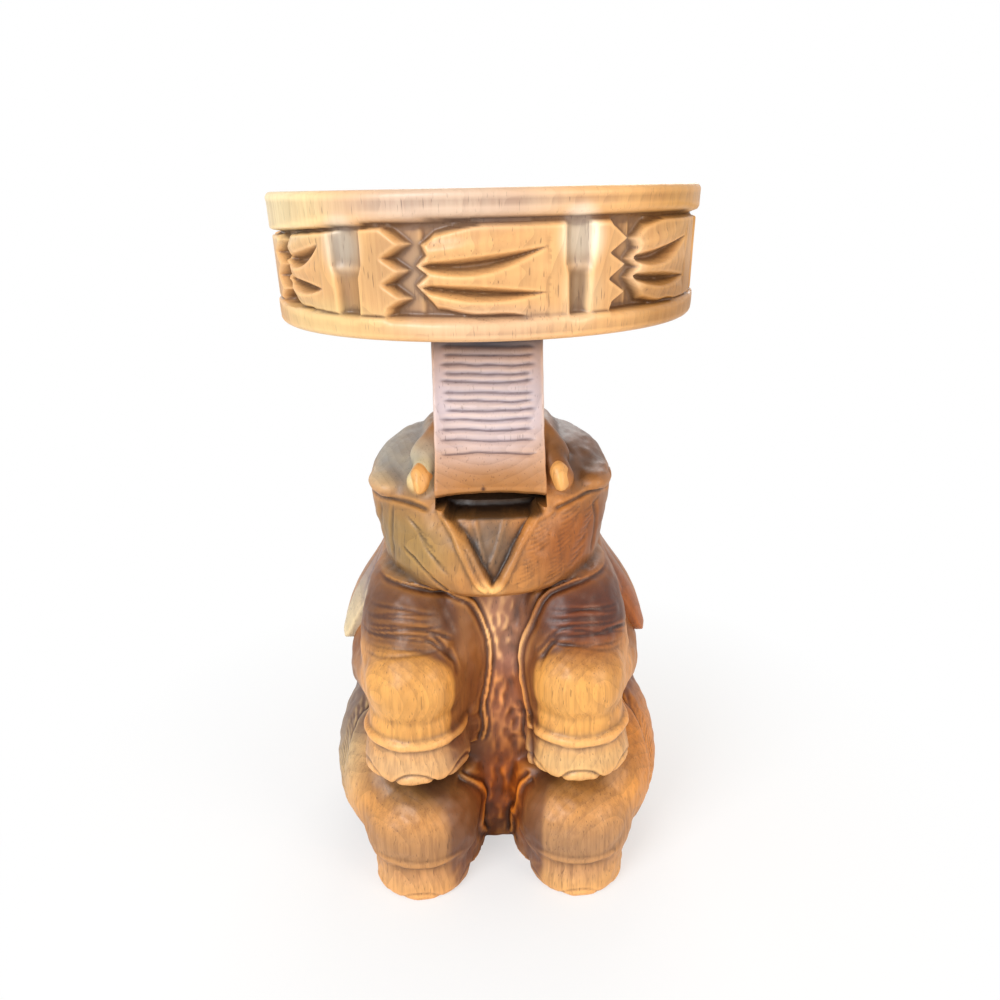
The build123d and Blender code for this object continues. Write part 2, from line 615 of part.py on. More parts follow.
# ---------------------------------------------------------------- torso
def belly_outline():
    """Front view of the strip between the legs, from the floor to the neck."""
    levels = (
        (BELLY_BASE_HALF_WIDTH, 0), (BELLY_FOOT_HALF_WIDTH, BELLY_FOOT_LEVEL),
        (BELLY_WIDE_HALF_WIDTH, BELLY_WIDE_LEVEL), (BELLY_NARROW_HALF_WIDTH, BELLY_NARROW_LEVEL),
        (BELLY_TOP_HALF_WIDTH, TORSO_HEIGHT))
    right = Spline(*levels)
    left = Spline(*[(-x, z) for x, z in reversed(levels)])
    top = Line(right @ 1, left @ 0)
    foot = Line(left @ 1, right @ 0)
    return make_face(Curve() + [right, top, left, foot])


def belly_prism(front):
    """The strip's outline drawn out from the glue plane to the front."""
    plane = Plane(origin=(0, -GLUE_PLANE, 0), x_dir=(1, 0, 0), z_dir=(0, -1, 0))
    return extrude(plane * belly_outline(), amount=front - GLUE_PLANE)


def torso_form():
    return loft([
        section(0, BASE_HALF_WIDTH, BASE_HALF_DEPTH, BASE_HALF_DEPTH),
        section(RUMP_LEVEL, RUMP_HALF_WIDTH, RUMP_HALF_DEPTH, RUMP_HALF_DEPTH),
        section(WAIST_LEVEL, WAIST_HALF_WIDTH, WAIST_HALF_DEPTH, WAIST_HALF_DEPTH),
        section(NECK_Z - BACK_DROP, BACK_HALF_WIDTH, BACK_HALF_DEPTH, BACK_HALF_DEPTH),
        section(NECK_Z, COLLAR_HALF_WIDTH, COLLAR_HALF_DEPTH, COLLAR_HALF_DEPTH)])


def haunch_form():
    """Right haunch, for the torso behind the glue plane and for the hind leg ahead of it."""
    return egg(HAUNCH_OFFSET, -HAUNCH_AHEAD, HAUNCH_LEVEL, HAUNCH_SIZE)


def forearm():
    """Right forearm from the elbow in the flank to the round knee in front."""
    elbow = (ELBOW_OFFSET, -ELBOW_AHEAD, ELBOW_LEVEL)
    return limb(elbow, (LEG_OFFSET, -KNEE_AHEAD, KNEE_LEVEL), ELBOW_RADIUS, KNEE_RADIUS)


def shoulder_blade():
    """Right shoulder behind the ear, and the upper arm down to the elbow."""
    level = NECK_Z - SHOULDER_DROP
    blade = egg(BLADE_OFFSET, -BLADE_AHEAD, level, BLADE_SIZE)
    socket = (BLADE_OFFSET + UPPER_ARM_SHIFT, -BLADE_AHEAD / 2, level - UPPER_ARM_SHIFT)
    elbow = (ELBOW_OFFSET, -ELBOW_AHEAD, ELBOW_LEVEL)
    return blade + limb(socket, elbow, KNEE_RADIUS, ELBOW_RADIUS - 1)


def tail():
    """Tail laid down the middle of the back."""
    top = Vector(0, WAIST_HALF_DEPTH - TAIL_SINK - 1, TAIL_TOP_LEVEL)
    middle = Vector(0, RUMP_HALF_DEPTH - TAIL_SINK, RUMP_LEVEL)
    foot = Vector(0, RUMP_HALF_DEPTH - 5 * TAIL_SINK, TAIL_FOOT_LEVEL)
    line = Spline(top, middle, foot)
    start = Plane(origin=top, z_dir=line % 0)
    return sweep(start * Circle(TAIL_RADIUS), path=line)


def belly_face():
    """Room in front of the belly strip: it leans back from the chest to the floor."""
    profile = Polyline((-FAR, 0), (-GLUE_PLANE - 1, 0), (-BELLY_FRONT + 4, BELLY_WIDE_LEVEL),
                       (-BELLY_FRONT, BELLY_NARROW_LEVEL), (-BELLY_FRONT, TORSO_HEIGHT),
                       (-FAR, TORSO_HEIGHT), close=True)
    return extrude(Plane.YZ * make_face(profile), amount=FAR, both=True)


def torso(ear_beds):
    room = Pos(0, FAR / 2 - GLUE_PLANE, TORSO_HEIGHT / 2) * Box(FAR, FAR, TORSO_HEIGHT)
    sides = haunch_form() + shoulder_blade() + forearm()
    form = torso_form() + neck_form() + sides + mirrored(sides) + tail()
    holes = NECK_HOLES + FORELEG_HOLES + HIND_LEG_HOLES
    return (form & room) - holes - ear_beds


def belly_strip():
    """Slat up the middle of the front, between the legs."""
    return belly_prism(BELLY_FRONT) - belly_face()


# ---------------------------------------------------------------- legs
def leg_keep(low, high):
    """Room that a leg may fill: ahead of the glue plane, inside the log and beside the belly."""
    log = Pos(0, 0, (low + high) / 2) * Cylinder(SEAT_RADIUS - 1, high - low)
    front = Pos(FAR / 2, -GLUE_PLANE - FAR / 2, (low + high) / 2) * Box(FAR, FAR, FAR)
    return (log & front) - belly_prism(FAR / 2)


def leg_section(level, half_width, reach, offset=LEG_OFFSET):
    """Level oval of a leg, from well behind the glue plane to its front."""
    return Pos(offset, 0, 0) * section(level, half_width, LEG_AHEAD + reach, -GLUE_PLANE / 2)


def foot(bottom, height, radius, ankle):
    """Drum of a foot, wider at the sole, with a rounded sole edge."""
    side = Polyline((0, bottom), (radius, bottom), (radius, bottom + height / 3),
                    (ankle, bottom + height), (0, bottom + height), close=True)
    drum = revolve(Plane.XZ * make_face(side), Axis.Z)
    rim = drum.edges().filter_by(GeomType.CIRCLE).group_by(Axis.Z)[0]
    drum = fillet(rim, SOLE_ROUND)
    cuff = Pos(0, 0, bottom + height) * Torus(ankle, CUFF_RADIUS)
    return Pos(LEG_OFFSET, -LEG_AHEAD, 0) * (drum + cuff)


def toe_cutter(bottom, radius):
    """Ring cut that leaves a half round toenail at the front of a foot."""
    ring = Circle(TOE_RADIUS) - Circle(TOE_RADIUS - TOE_DEPTH)
    plane = Plane(origin=(LEG_OFFSET, -LEG_AHEAD - radius + TOE_DEPTH, bottom),
                  x_dir=(1, 0, 0), z_dir=(0, -1, 0))
    return extrude(plane * ring, amount=2 * TOE_DEPTH)


def foreleg(ear_beds):
    full = NECK_Z - SHOULDER_DROP
    shoulder = loft([
        leg_section(ARM_LEVEL - 8, ARM_HALF_WIDTH - 6, SHOULDER_REACH - 2),
        leg_section(ARM_LEVEL + 24, ARM_HALF_WIDTH + 6, SHOULDER_REACH),
        leg_section(full, SHOULDER_HALF_WIDTH, SHOULDER_REACH),
        leg_section(NECK_Z, SHOULDER_TOP_HALF_WIDTH, SHOULDER_REACH - 30)])
    inner = loft([
        leg_section(FOREFOOT_BOTTOM, INNER_HALF_WIDTH - 3, INNER_AHEAD - LEG_AHEAD - 12, INNER_OFFSET),
        leg_section(full, INNER_HALF_WIDTH + 2, INNER_AHEAD - LEG_AHEAD, INNER_OFFSET),
        leg_section(NECK_Z, INNER_HALF_WIDTH + 4, INNER_AHEAD - LEG_AHEAD - 8, INNER_OFFSET)])
    sole = foot(FOREFOOT_BOTTOM, FOREFOOT_HEIGHT, FOREFOOT_RADIUS, ANKLE_RADIUS)
    ankle_low = FOREFOOT_BOTTOM + FOREFOOT_HEIGHT
    ankle_height = KNEE_LEVEL - ankle_low
    ankle = Pos(LEG_OFFSET, -LEG_AHEAD, ankle_low + ankle_height / 2)
    ankle = ankle * Cylinder(ANKLE_RADIUS, ankle_height)
    body = shoulder + inner + forearm() + sole + ankle
    body = body & leg_keep(FOREFOOT_BOTTOM, TORSO_HEIGHT)
    return body - toe_cutter(FOREFOOT_BOTTOM, FOREFOOT_RADIUS) - FORELEG_HOLES - ear_beds


def hind_leg():
    thigh = egg(LEG_OFFSET, -LEG_AHEAD + 2, THIGH_LEVEL,
                (THIGH_HALF_WIDTH, THIGH_HALF_DEPTH, THIGH_HALF_HEIGHT))
    inner = egg(INNER_OFFSET + 6, 4 - LEG_AHEAD, THIGH_LEVEL - 4, (INNER_HALF_WIDTH + 2, 34, 38))
    sole = foot(0, HINDFOOT_HEIGHT, HINDFOOT_RADIUS, HINDFOOT_RADIUS - 2)
    body = thigh + inner + haunch_form() + sole
    body = body & leg_keep(0, FOREFOOT_BOTTOM - LEG_GAP)
    return body - toe_cutter(0, HINDFOOT_RADIUS) - HIND_LEG_HOLES


# ---------------------------------------------------------------- assembly
def build():
    bed = ear_bed()
    beds = [bed, mirrored(bed)]
    ear_sockets = ear_dowel_rods(DOWEL_CLEARANCE, DOWEL_END_GAP)
    ear_cuts = beds + ear_sockets + [mirrored(hole) for hole in ear_sockets]
    lower, upper = head_form()
    tusk_cut = tusk_cutter()
    brow_right = brow(upper, ear_cuts, tusk_cut)
    ear_right = ear()
    tusk_right = tusk()
    foreleg_right = foreleg(ear_cuts)
    hind_leg_right = hind_leg()
    ear_rods = ear_dowel_rods()
    return {
        "seat_drum": seat_drum(),
        "trunk": trunk(),
        "brow_right": brow_right,
        "brow_left": mirrored(brow_right),
        "tusk_right": tusk_right,
        "tusk_left": mirrored(tusk_right),
        "jaw": jaw(lower, ear_cuts),
        "ear_right": ear_right,
        "ear_left": mirrored(ear_right),
        "torso": torso(ear_cuts),
        "belly_strip": belly_strip(),
        "foreleg_right": foreleg_right,
        "foreleg_left": mirrored(foreleg_right),
        "hind_leg_right": hind_leg_right,
        "hind_leg_left": mirrored(hind_leg_right),
        "seat_dowels": Compound(SEAT_DOWELS),
        "trunk_dowels": Compound(TRUNK_DOWELS),
        "brow_dowels": Compound(BROW_DOWELS),
        "neck_dowels": Compound(NECK_DOWELS),
        "foreleg_dowels": Compound(FORELEG_DOWELS),
        "hind_leg_dowels": Compound(HIND_LEG_DOWELS),
        "ear_dowels": Compound(ear_rods + [mirrored(rod) for rod in ear_rods]),
    }


for name, shape in build().items():
    export_step(shape, f"parts/{name}.step")
    print(name, round(shape.volume), shape.bounding_box().min, shape.bounding_box().max)
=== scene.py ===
# %% [markdown]
# # A carved elephant that carries a round seat
#
# The real stool is worked with gouges and knives. An elephant sits on its rump, its hind feet
# stand on the floor, its forelegs are bent, and its raised trunk carries a thick round seat.
# The lesson builds it in the carver's order. First comes a rough shape of balls and lofted
# blocks, then the knife cuts, then the finish.
# The measured model from the library is loaded first, because every piece has to sit where
# its joints are.

# %% Load the measured frame
from math import atan, atan2, cos, pi, radians, sin

import bmesh
import bpy
import numpy as np
from mathutils import Matrix, Vector


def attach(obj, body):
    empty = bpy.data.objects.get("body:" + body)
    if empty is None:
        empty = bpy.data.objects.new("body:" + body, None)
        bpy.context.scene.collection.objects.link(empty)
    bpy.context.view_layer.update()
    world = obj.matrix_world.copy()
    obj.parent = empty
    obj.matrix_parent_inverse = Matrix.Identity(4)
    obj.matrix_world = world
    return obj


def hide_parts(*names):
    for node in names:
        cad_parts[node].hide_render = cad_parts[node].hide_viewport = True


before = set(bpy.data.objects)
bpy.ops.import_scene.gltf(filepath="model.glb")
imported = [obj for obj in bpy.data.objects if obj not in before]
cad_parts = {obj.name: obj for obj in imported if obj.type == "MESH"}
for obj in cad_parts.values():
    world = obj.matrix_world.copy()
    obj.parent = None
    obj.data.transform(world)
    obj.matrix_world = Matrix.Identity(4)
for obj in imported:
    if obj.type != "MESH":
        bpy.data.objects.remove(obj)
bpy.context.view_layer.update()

# %% [markdown]
# ## Camera
#
# The eye stands at the height of the seat top, close to the stool, and looks down a little.
# A short lens that near makes the feet look smaller than the seat. The angle comes from how
# far above the picture's middle the horizon would lie.

# %% Camera
MM = 0.001
FOCAL_PIXELS = 875.0
PICTURE_PIXELS = 1000
HORIZON_PIXELS = 313
SENSOR_MM = 36.0
EYE_PLACE = (0, -0.6616, 0.508)
LOOK_DOWN = atan(HORIZON_PIXELS / FOCAL_PIXELS)
LOOK_RIGHT = radians(0.63)
LEAN = radians(-1.2)


def show(name, data):
    """New object in the scene."""
    made = bpy.data.objects.new(name, data)
    bpy.context.scene.collection.objects.link(made)
    return made


camera_data = bpy.data.cameras.new("eye")
camera_data.sensor_width = SENSOR_MM
camera_data.lens = FOCAL_PIXELS * SENSOR_MM / PICTURE_PIXELS
camera = show("eye", camera_data)
turn = Matrix.Rotation(-LOOK_RIGHT, 4, "Z") @ Matrix.Rotation(pi / 2 - LOOK_DOWN, 4, "X")
turn = turn @ Matrix.Rotation(LEAN, 4, "Z")
camera.matrix_world = Matrix.Translation(EYE_PLACE) @ turn
bpy.context.scene.camera = camera
print("lens", round(camera_data.lens, 2), "mm")

# %% [markdown]
# ## Wiring nodes
#
# The sky, the floor and every wood finish are node trees. They could be wired node by node,
# but then the script would be mostly wiring. This helper makes a node, fills or links its
# sockets and hands back its outputs, so that a tree reads like a sum.


# %% Node helper
class Nodes:
    """Short way to write the node tree of a material or a world."""

    def __init__(self, owner):
        owner.use_nodes = True
        self.tree = owner.node_tree
        self.tree.nodes.clear()

    def add(self, kind, settings=None, **sockets):
        """A node's outputs. A socket goes by its name, or by its number as in i0."""
        node = self.tree.nodes.new(kind)
        for key, value in (settings or {}).items():
            setattr(node, key, value)
        for key, value in sockets.items():
            slot = node.inputs[int(key[1:]) if key[1:].isdigit() else key.replace("_", " ")]
            if isinstance(value, bpy.types.NodeSocket):
                self.tree.links.new(value, slot)
            else:
                slot.default_value = value
        return node.outputs

    def math(self, kind, a, b=0.0, clamp=False):
        settings = {"operation": kind, "use_clamp": clamp}
        return self.add("ShaderNodeMath", settings, i0=a, i1=b)[0]

    def mix(self, share, a, b, kind="MIX"):
        settings = {"data_type": "RGBA", "blend_type": kind}
        return self.add("ShaderNodeMix", settings, i0=share, i6=a, i7=b)[2]

    def ramp(self, value, low, high, to_low=0.0, to_high=1.0):
        """Soft step from to_low to to_high while the value goes from low to high."""
        settings = {"interpolation_type": "SMOOTHSTEP"}
        return self.add("ShaderNodeMapRange", settings, Value=value, From_Min=low,
                        From_Max=high, To_Min=to_low, To_Max=to_high)[0]

    def attribute(self, name):
        """Outputs that read numbers or colours stored on the points."""
        return self.add("ShaderNodeAttribute", {"attribute_name": name})


# %% [markdown]
# ## Light, background and floor
#
# Product pictures of lacquered wood use big soft lamps, so that the gloss shows as broad
# patches and not as sparks. The world is plain white to the eye and dimmer as a light. A lamp
# from the front left is a little cool, one from the front right a little warm, and a third
# fills in from behind. The floor is white paper: it glows white to the eye at a distance, and
# near the stool it keeps half of its real light, and with it the stool's soft shadow.

# %% World
AMBIENT = 0.54
WHITE = (1, 1, 1, 1)

scene = bpy.context.scene
scene.view_settings.view_transform = "Standard"
world = bpy.data.worlds.new("studio")
scene.world = world
n = Nodes(world)
path = n.add("ShaderNodeLightPath")
seen = n.math("MAXIMUM", path["Is Camera Ray"], path["Is Glossy Ray"])
seen = n.math("MAXIMUM", seen, path["Is Transmission Ray"])
soft = n.add("ShaderNodeBackground", Color=(1, 0.985, 0.965, 1), Strength=AMBIENT)
white = n.add("ShaderNodeBackground", Color=WHITE, Strength=1.0)
sky = n.add("ShaderNodeMixShader", i0=seen, i1=soft[0], i2=white[0])
n.add("ShaderNodeOutputWorld", Surface=sky[0])
print("world ready, ambient", AMBIENT)


# %% Lamps
def soft_lamp(name, place, target, size, power, colour):
    """A square softbox that looks at a point."""
    data = bpy.data.lights.new(name, "AREA")
    data.shape = "SQUARE"
    data.size = size
    data.energy = power
    data.color = colour
    lamp = show(name, data)
    aim = (Vector(target) - Vector(place)).to_track_quat("-Z", "Y")
    lamp.matrix_world = Matrix.Translation(place) @ aim.to_matrix().to_4x4()
    print("lamp", name, power, "W")


MIDDLE = (0, 0, 0.25)
soft_lamp("cool_side", (-1.1, -1.5, 1.15), MIDDLE, 1.0, 34, (0.92, 0.96, 1.0))
soft_lamp("warm_side", (1.3, -1.2, 0.75), MIDDLE, 0.8, 14, (1.0, 0.88, 0.74))
soft_lamp("back_fill", (0.3, 1.8, 1.3), MIDDLE, 1.2, 16, (1.0, 0.98, 0.95))

# %% Floor
FLOOR_RADIUS = 6.0
PAPER = (0.86, 0.86, 0.86, 1)
GLOW_STARTS = 0.12
GLOW_FULL = 0.42

floor_mesh = bmesh.new()
bmesh.ops.create_circle(floor_mesh, cap_ends=True, segments=96, radius=FLOOR_RADIUS)
floor_data = bpy.data.meshes.new("floor")
floor_mesh.to_mesh(floor_data)
floor_mesh.free()
floor = show("floor", floor_data)
paper = bpy.data.materials.new("floor_paper")
n = Nodes(paper)
place = n.add("ShaderNodeTexCoord")["Object"]
reach = n.add("ShaderNodeVectorMath", {"operation": "LENGTH"}, i0=place)["Value"]
fade = n.add("ShaderNodeMapRange", Value=reach, From_Min=GLOW_STARTS, From_Max=GLOW_FULL,
             To_Min=0.55, To_Max=1.0)[0]
seen = n.math("MULTIPLY", fade, n.add("ShaderNodeLightPath")["Is Camera Ray"])
lit = n.add("ShaderNodeBsdfDiffuse", Color=PAPER)
glow = n.add("ShaderNodeEmission", Strength=1.0)
sheet = n.add("ShaderNodeMixShader", i0=seen, i1=lit[0], i2=glow[0])
n.add("ShaderNodeOutputMaterial", Surface=sheet[0])
floor_data.materials.append(paper)
print("floor ready, radius", FLOOR_RADIUS, "m")

# %% [markdown]
# ## The carver's helpers
#
# All the sizes below are in millimetres, as on the bench, and become metres when a mesh is
# made. A block-out is a heap of closed shapes that overlap: ovals joined by bridges, balls
# and rings. A voxel remesh then grows one skin over the heap, as if it were one piece of
# wood. A skin of small even squares can be moved point by point, which is how the gouge and
# knife cuts are made here.


# %% Ovals, lofts, balls and rings
OVAL_STEPS = 72
RING_STEPS = 48
BEAD_STEPS = 12


def at(x, y, z):
    """Move to a place in millimetres."""
    return Matrix.Translation((x * MM, y * MM, z * MM))


def edges_at(verts):
    return list({edge for vert in verts for edge in vert.link_edges})


def oval(bm, z, half_width, front, back, x=0):
    """Level oval from front to back; returns its edges."""
    shape = at(x, (back - front) / 2, z)
    shape = shape @ Matrix.Diagonal((half_width * MM, (front + back) / 2 * MM, 1, 1))
    made = bmesh.ops.create_circle(bm, cap_ends=False, segments=OVAL_STEPS, radius=1,
                                   matrix=shape)
    return edges_at(made["verts"])


def loft(bm, rows, x=0):
    """Closed body through level ovals, given as (z, half_width, front, back)."""
    loops = [oval(bm, *row, x=x) for row in rows]
    for low, high in zip(loops, loops[1:]):
        bmesh.ops.bridge_loops(bm, edges=low + high)
    for end in (loops[0], loops[-1]):
        bmesh.ops.edgeloop_fill(bm, edges=end)


def ball(bm, centre, radii, spin=0.0):
    """Egg with three half axes, turned about the X axis by spin degrees."""
    size = Matrix.Diagonal((radii[0] * MM, radii[1] * MM, radii[2] * MM, 1))
    shape = at(*centre) @ Matrix.Rotation(radians(spin), 4, "X") @ size
    bmesh.ops.create_icosphere(bm, subdivisions=4, radius=1, matrix=shape)


def ring(bm, centre, radius, thick):
    """Round bead that lies level; its profile circle is spun about the upright axis."""
    middle = at(*centre)
    profile = middle @ at(radius, 0, 0) @ Matrix.Rotation(pi / 2, 4, "X")
    made = bmesh.ops.create_circle(bm, segments=BEAD_STEPS, radius=thick * MM, matrix=profile)
    bmesh.ops.spin(bm, geom=edges_at(made["verts"]), cent=middle.translation,
                   axis=middle.col[2].xyz, angle=2 * pi, steps=RING_STEPS, use_merge=True)


def new_object(name, bm):
    """The finished bmesh as an object, with its faces turned outwards."""
    mesh = bpy.data.meshes.new(name)
    bmesh.ops.recalc_face_normals(bm, faces=bm.faces)
    bm.to_mesh(mesh)
    bm.free()
    return show(name, mesh)


# %% Remesh, and the points as an array
def grow_skin(piece, voxel):
    """One even skin over everything in the piece."""
    skin = piece.modifiers.new("skin", "REMESH")
    skin.mode = "VOXEL"
    skin.voxel_size = voxel * MM
    shaped = piece.evaluated_get(bpy.context.evaluated_depsgraph_get())
    mesh = bpy.data.meshes.new_from_object(shaped)
    old = piece.data
    piece.modifiers.clear()
    piece.data = mesh
    bpy.data.meshes.remove(old)
    print(piece.name, "skin of", len(mesh.polygons), "faces")


def read(mesh, field):
    """Three numbers a point, as rows."""
    flat = np.empty(len(mesh.vertices) * 3)
    mesh.vertices.foreach_get(field, flat)
    return flat.reshape(-1, 3)


def points(mesh):
    """All points in millimetres."""
    return read(mesh, "co") / MM


def outward(mesh):
    return read(mesh, "normal")


def put_points(mesh, places):
    mesh.vertices.foreach_set("co", (places * MM).ravel())
    mesh.update()


def relax(mesh, places, rounds, amount):
    """Moves each point towards the middle of its neighbours, round after round."""
    pairs = np.empty(len(mesh.edges) * 2, dtype=np.int32)
    mesh.edges.foreach_get("vertices", pairs)
    a, b = pairs[::2], pairs[1::2]
    count = len(places)
    near = np.bincount(a, minlength=count) + np.bincount(b, minlength=count)
    for _ in range(rounds):
        middle = np.empty_like(places)
        for axis in range(3):
            total = np.bincount(a, weights=places[b, axis], minlength=count)
            total += np.bincount(b, weights=places[a, axis], minlength=count)
            middle[:, axis] = total / near
        places = places + (middle - places) * np.reshape(amount, (-1, 1))
    return places


# %% [markdown]
# ### Knife strokes
#
# A stroke is a line that the knife follows. It is drawn in one of two flat views, from the
# front or from the side, because that is how a carver marks it out. Points near the line
# sink along their own normal. A bead is the same thing with the sign turned round. The cut is
# deepest in the middle of the line and runs out at its ends.


# %% Strokes and beads
def ease(value):
    """Soft step from 0 to 1."""
    value = np.clip(value, 0, 1)
    return value * value * (3 - 2 * value)


def line_gap(flat, path):
    """Distance of each point to a line of straight runs, and how far along it lies, 0 to 1."""
    path = np.array(path, float)
    runs = np.linalg.norm(np.diff(path, axis=0), axis=1)
    starts = np.concatenate(([0], np.cumsum(runs)))
    best = np.full(len(flat), 1e9)
    along = np.zeros(len(flat))
    for index, (start, end) in enumerate(zip(path, path[1:])):
        way = end - start
        share = np.clip(((flat - start) @ way) / max(way @ way, 1e-9), 0, 1)
        gap = np.linalg.norm(flat - start - share[:, None] * way, axis=1)
        near = gap < best
        best[near] = gap[near]
        along[near] = (starts[index] + share[near] * runs[index]) / starts[-1]
    return best, along


def smooth_path(path, rounds=2):
    """Cuts the corners of a line so that it runs as one curve."""
    path = [tuple(point) for point in path]
    for _ in range(rounds):
        cut = [path[0]]
        for (x0, z0), (x1, z1) in zip(path, path[1:]):
            cut.append((0.75 * x0 + 0.25 * x1, 0.75 * z0 + 0.25 * z1))
            cut.append((0.25 * x0 + 0.75 * x1, 0.25 * z0 + 0.75 * z1))
        cut.append(path[-1])
        path = cut
    return path


def stroke(places, lift, view, path, width, depth, taper, where):
    """Adds a cut (depth above 0) or a bead (below 0) to the heights in lift."""
    flat = places[:, {"front": [0, 2], "side": [1, 2]}[view]]
    path = np.array(smooth_path(path))
    inside = np.all((flat > path.min(0) - width) & (flat < path.max(0) + width), axis=1)
    rows = np.nonzero(inside & where)[0]
    if len(rows) == 0:
        return
    gap, along = line_gap(flat[rows], path)
    ends = ease(np.minimum(along, 1 - along) / taper) if taper else 1.0
    lift[rows] -= depth * ease(1 - gap / width) * ends


WAVES = 16


def uneven(places, amount, wavelength, seed):
    """Soft random swells, as a hand held gouge leaves them: many plane waves added up."""
    local = np.random.default_rng(seed)
    total = np.zeros(len(places))
    for _ in range(WAVES):
        way = local.normal(0, 1, 3)
        way *= 2 * pi / (wavelength * local.uniform(0.7, 1.5) * np.linalg.norm(way))
        total += np.sin(places @ way + local.uniform(0, 2 * pi))
    return total * amount / 4


def store(mesh, name, values):
    """Keeps one number a point, which a material can read by name."""
    layer = mesh.attributes.new(name, "FLOAT", "POINT")
    layer.data.foreach_set("value", np.asarray(values, dtype=np.float32))


def sunk_below(mesh, places, rounds):
    """How far each point lies below its surroundings, in millimetres."""
    gap = relax(mesh, places, rounds, 0.7) - places
    return np.einsum("ij,ij->i", gap, outward(mesh))


FINE_DEPTH = 0.35
BROAD_DEPTH = 1.6
EDGE_HEIGHT = 0.3


def store_hollows(mesh):
    """hollow: 0 on open skin, up to 1 in a cut, for painted shade; edge: the same for ridges,
    for a painted highlight.
    """
    places = points(mesh)
    fine = sunk_below(mesh, places, 5)
    broad = sunk_below(mesh, places, 24)
    store(mesh, "hollow", np.clip(fine / FINE_DEPTH, 0, 1) * 0.6
          + np.clip(broad / BROAD_DEPTH, 0, 1) * 0.6)
    store(mesh, "edge", np.clip(-fine / EDGE_HEIGHT, 0, 1))


# %% [markdown]
# ### Cutting the carving into its parts
#
# The real blank is glued up from blocks before it is carved, so the carving runs over the
# joints without a step. Here the whole figure is carved first and then sawn along the joint
# planes. Each saw cut is closed with a flat face, and its rim is kept sharp.


# %% Saw
SHARP_ANGLE = radians(50)


def saw(source, name, cuts):
    """Copy of the part of a piece that lies behind every (point, direction) plane."""
    bm = bmesh.new()
    bm.from_mesh(source.data)
    for place, away in cuts:
        away = Vector(away)
        made = bmesh.ops.bisect_plane(
            bm, geom=bm.verts[:] + bm.edges[:] + bm.faces[:], dist=1e-6,
            plane_co=Vector(place) * MM, plane_no=away, clear_outer=True)
        rim = [item for item in made["geom_cut"]
               if isinstance(item, bmesh.types.BMEdge) and item.is_boundary]
        if rim:
            filled = bmesh.ops.triangle_fill(bm, edges=rim, use_beauty=True,
                                             use_dissolve=False, normal=away)
            for item in filled["geom"]:
                if isinstance(item, bmesh.types.BMFace) and item.normal.dot(away) < 0:
                    item.normal_flip()
            for edge in rim:
                edge.smooth = False
    mesh = bpy.data.meshes.new(name)
    bm.to_mesh(mesh)
    open_edges = sum(1 for edge in bm.edges if edge.is_boundary)
    bm.free()
    mesh.shade_smooth()
    print(name, len(mesh.polygons), "faces,", open_edges, "open edges")
    return show(name, mesh)


def keep_sharp(piece):
    """Steep edges stay sharp after smooth shading."""
    bm = bmesh.new()
    bm.from_mesh(piece.data)
    for edge in bm.edges:
        if edge.calc_face_angle(0) > SHARP_ANGLE:
            edge.smooth = False
    bm.to_mesh(piece.data)
    bm.free()


# %% [markdown]
# ## Log wood
#
# The figure is cut from round logs of a tropical hardwood. Near the middle of a log the wood
# is dark heartwood, and outside it is pale golden sapwood, so whatever stands out furthest
# from the middle line, such as the knees and the feet, comes out golden. The material works
# the same way: it measures how far each point is from the log's middle line, bends that
# distance with slow noise, and turns it into rings and into the two colours. Fine streaks
# run along the log. Cuts get painted shade, and ridges get a painted highlight.


# %% Wood material
RINGS_PER_METRE = 190.0
BEND = 0.05
HEART_SHIFT = 0.06


def colour(red, green, blue):
    """Screen colour, 0 to 255, as the light that Blender mixes."""
    def one(part):
        part = part / 255
        return part / 12.92 if part <= 0.04045 else ((part + 0.055) / 1.055) ** 2.4
    return (one(red), one(green), one(blue), 1)


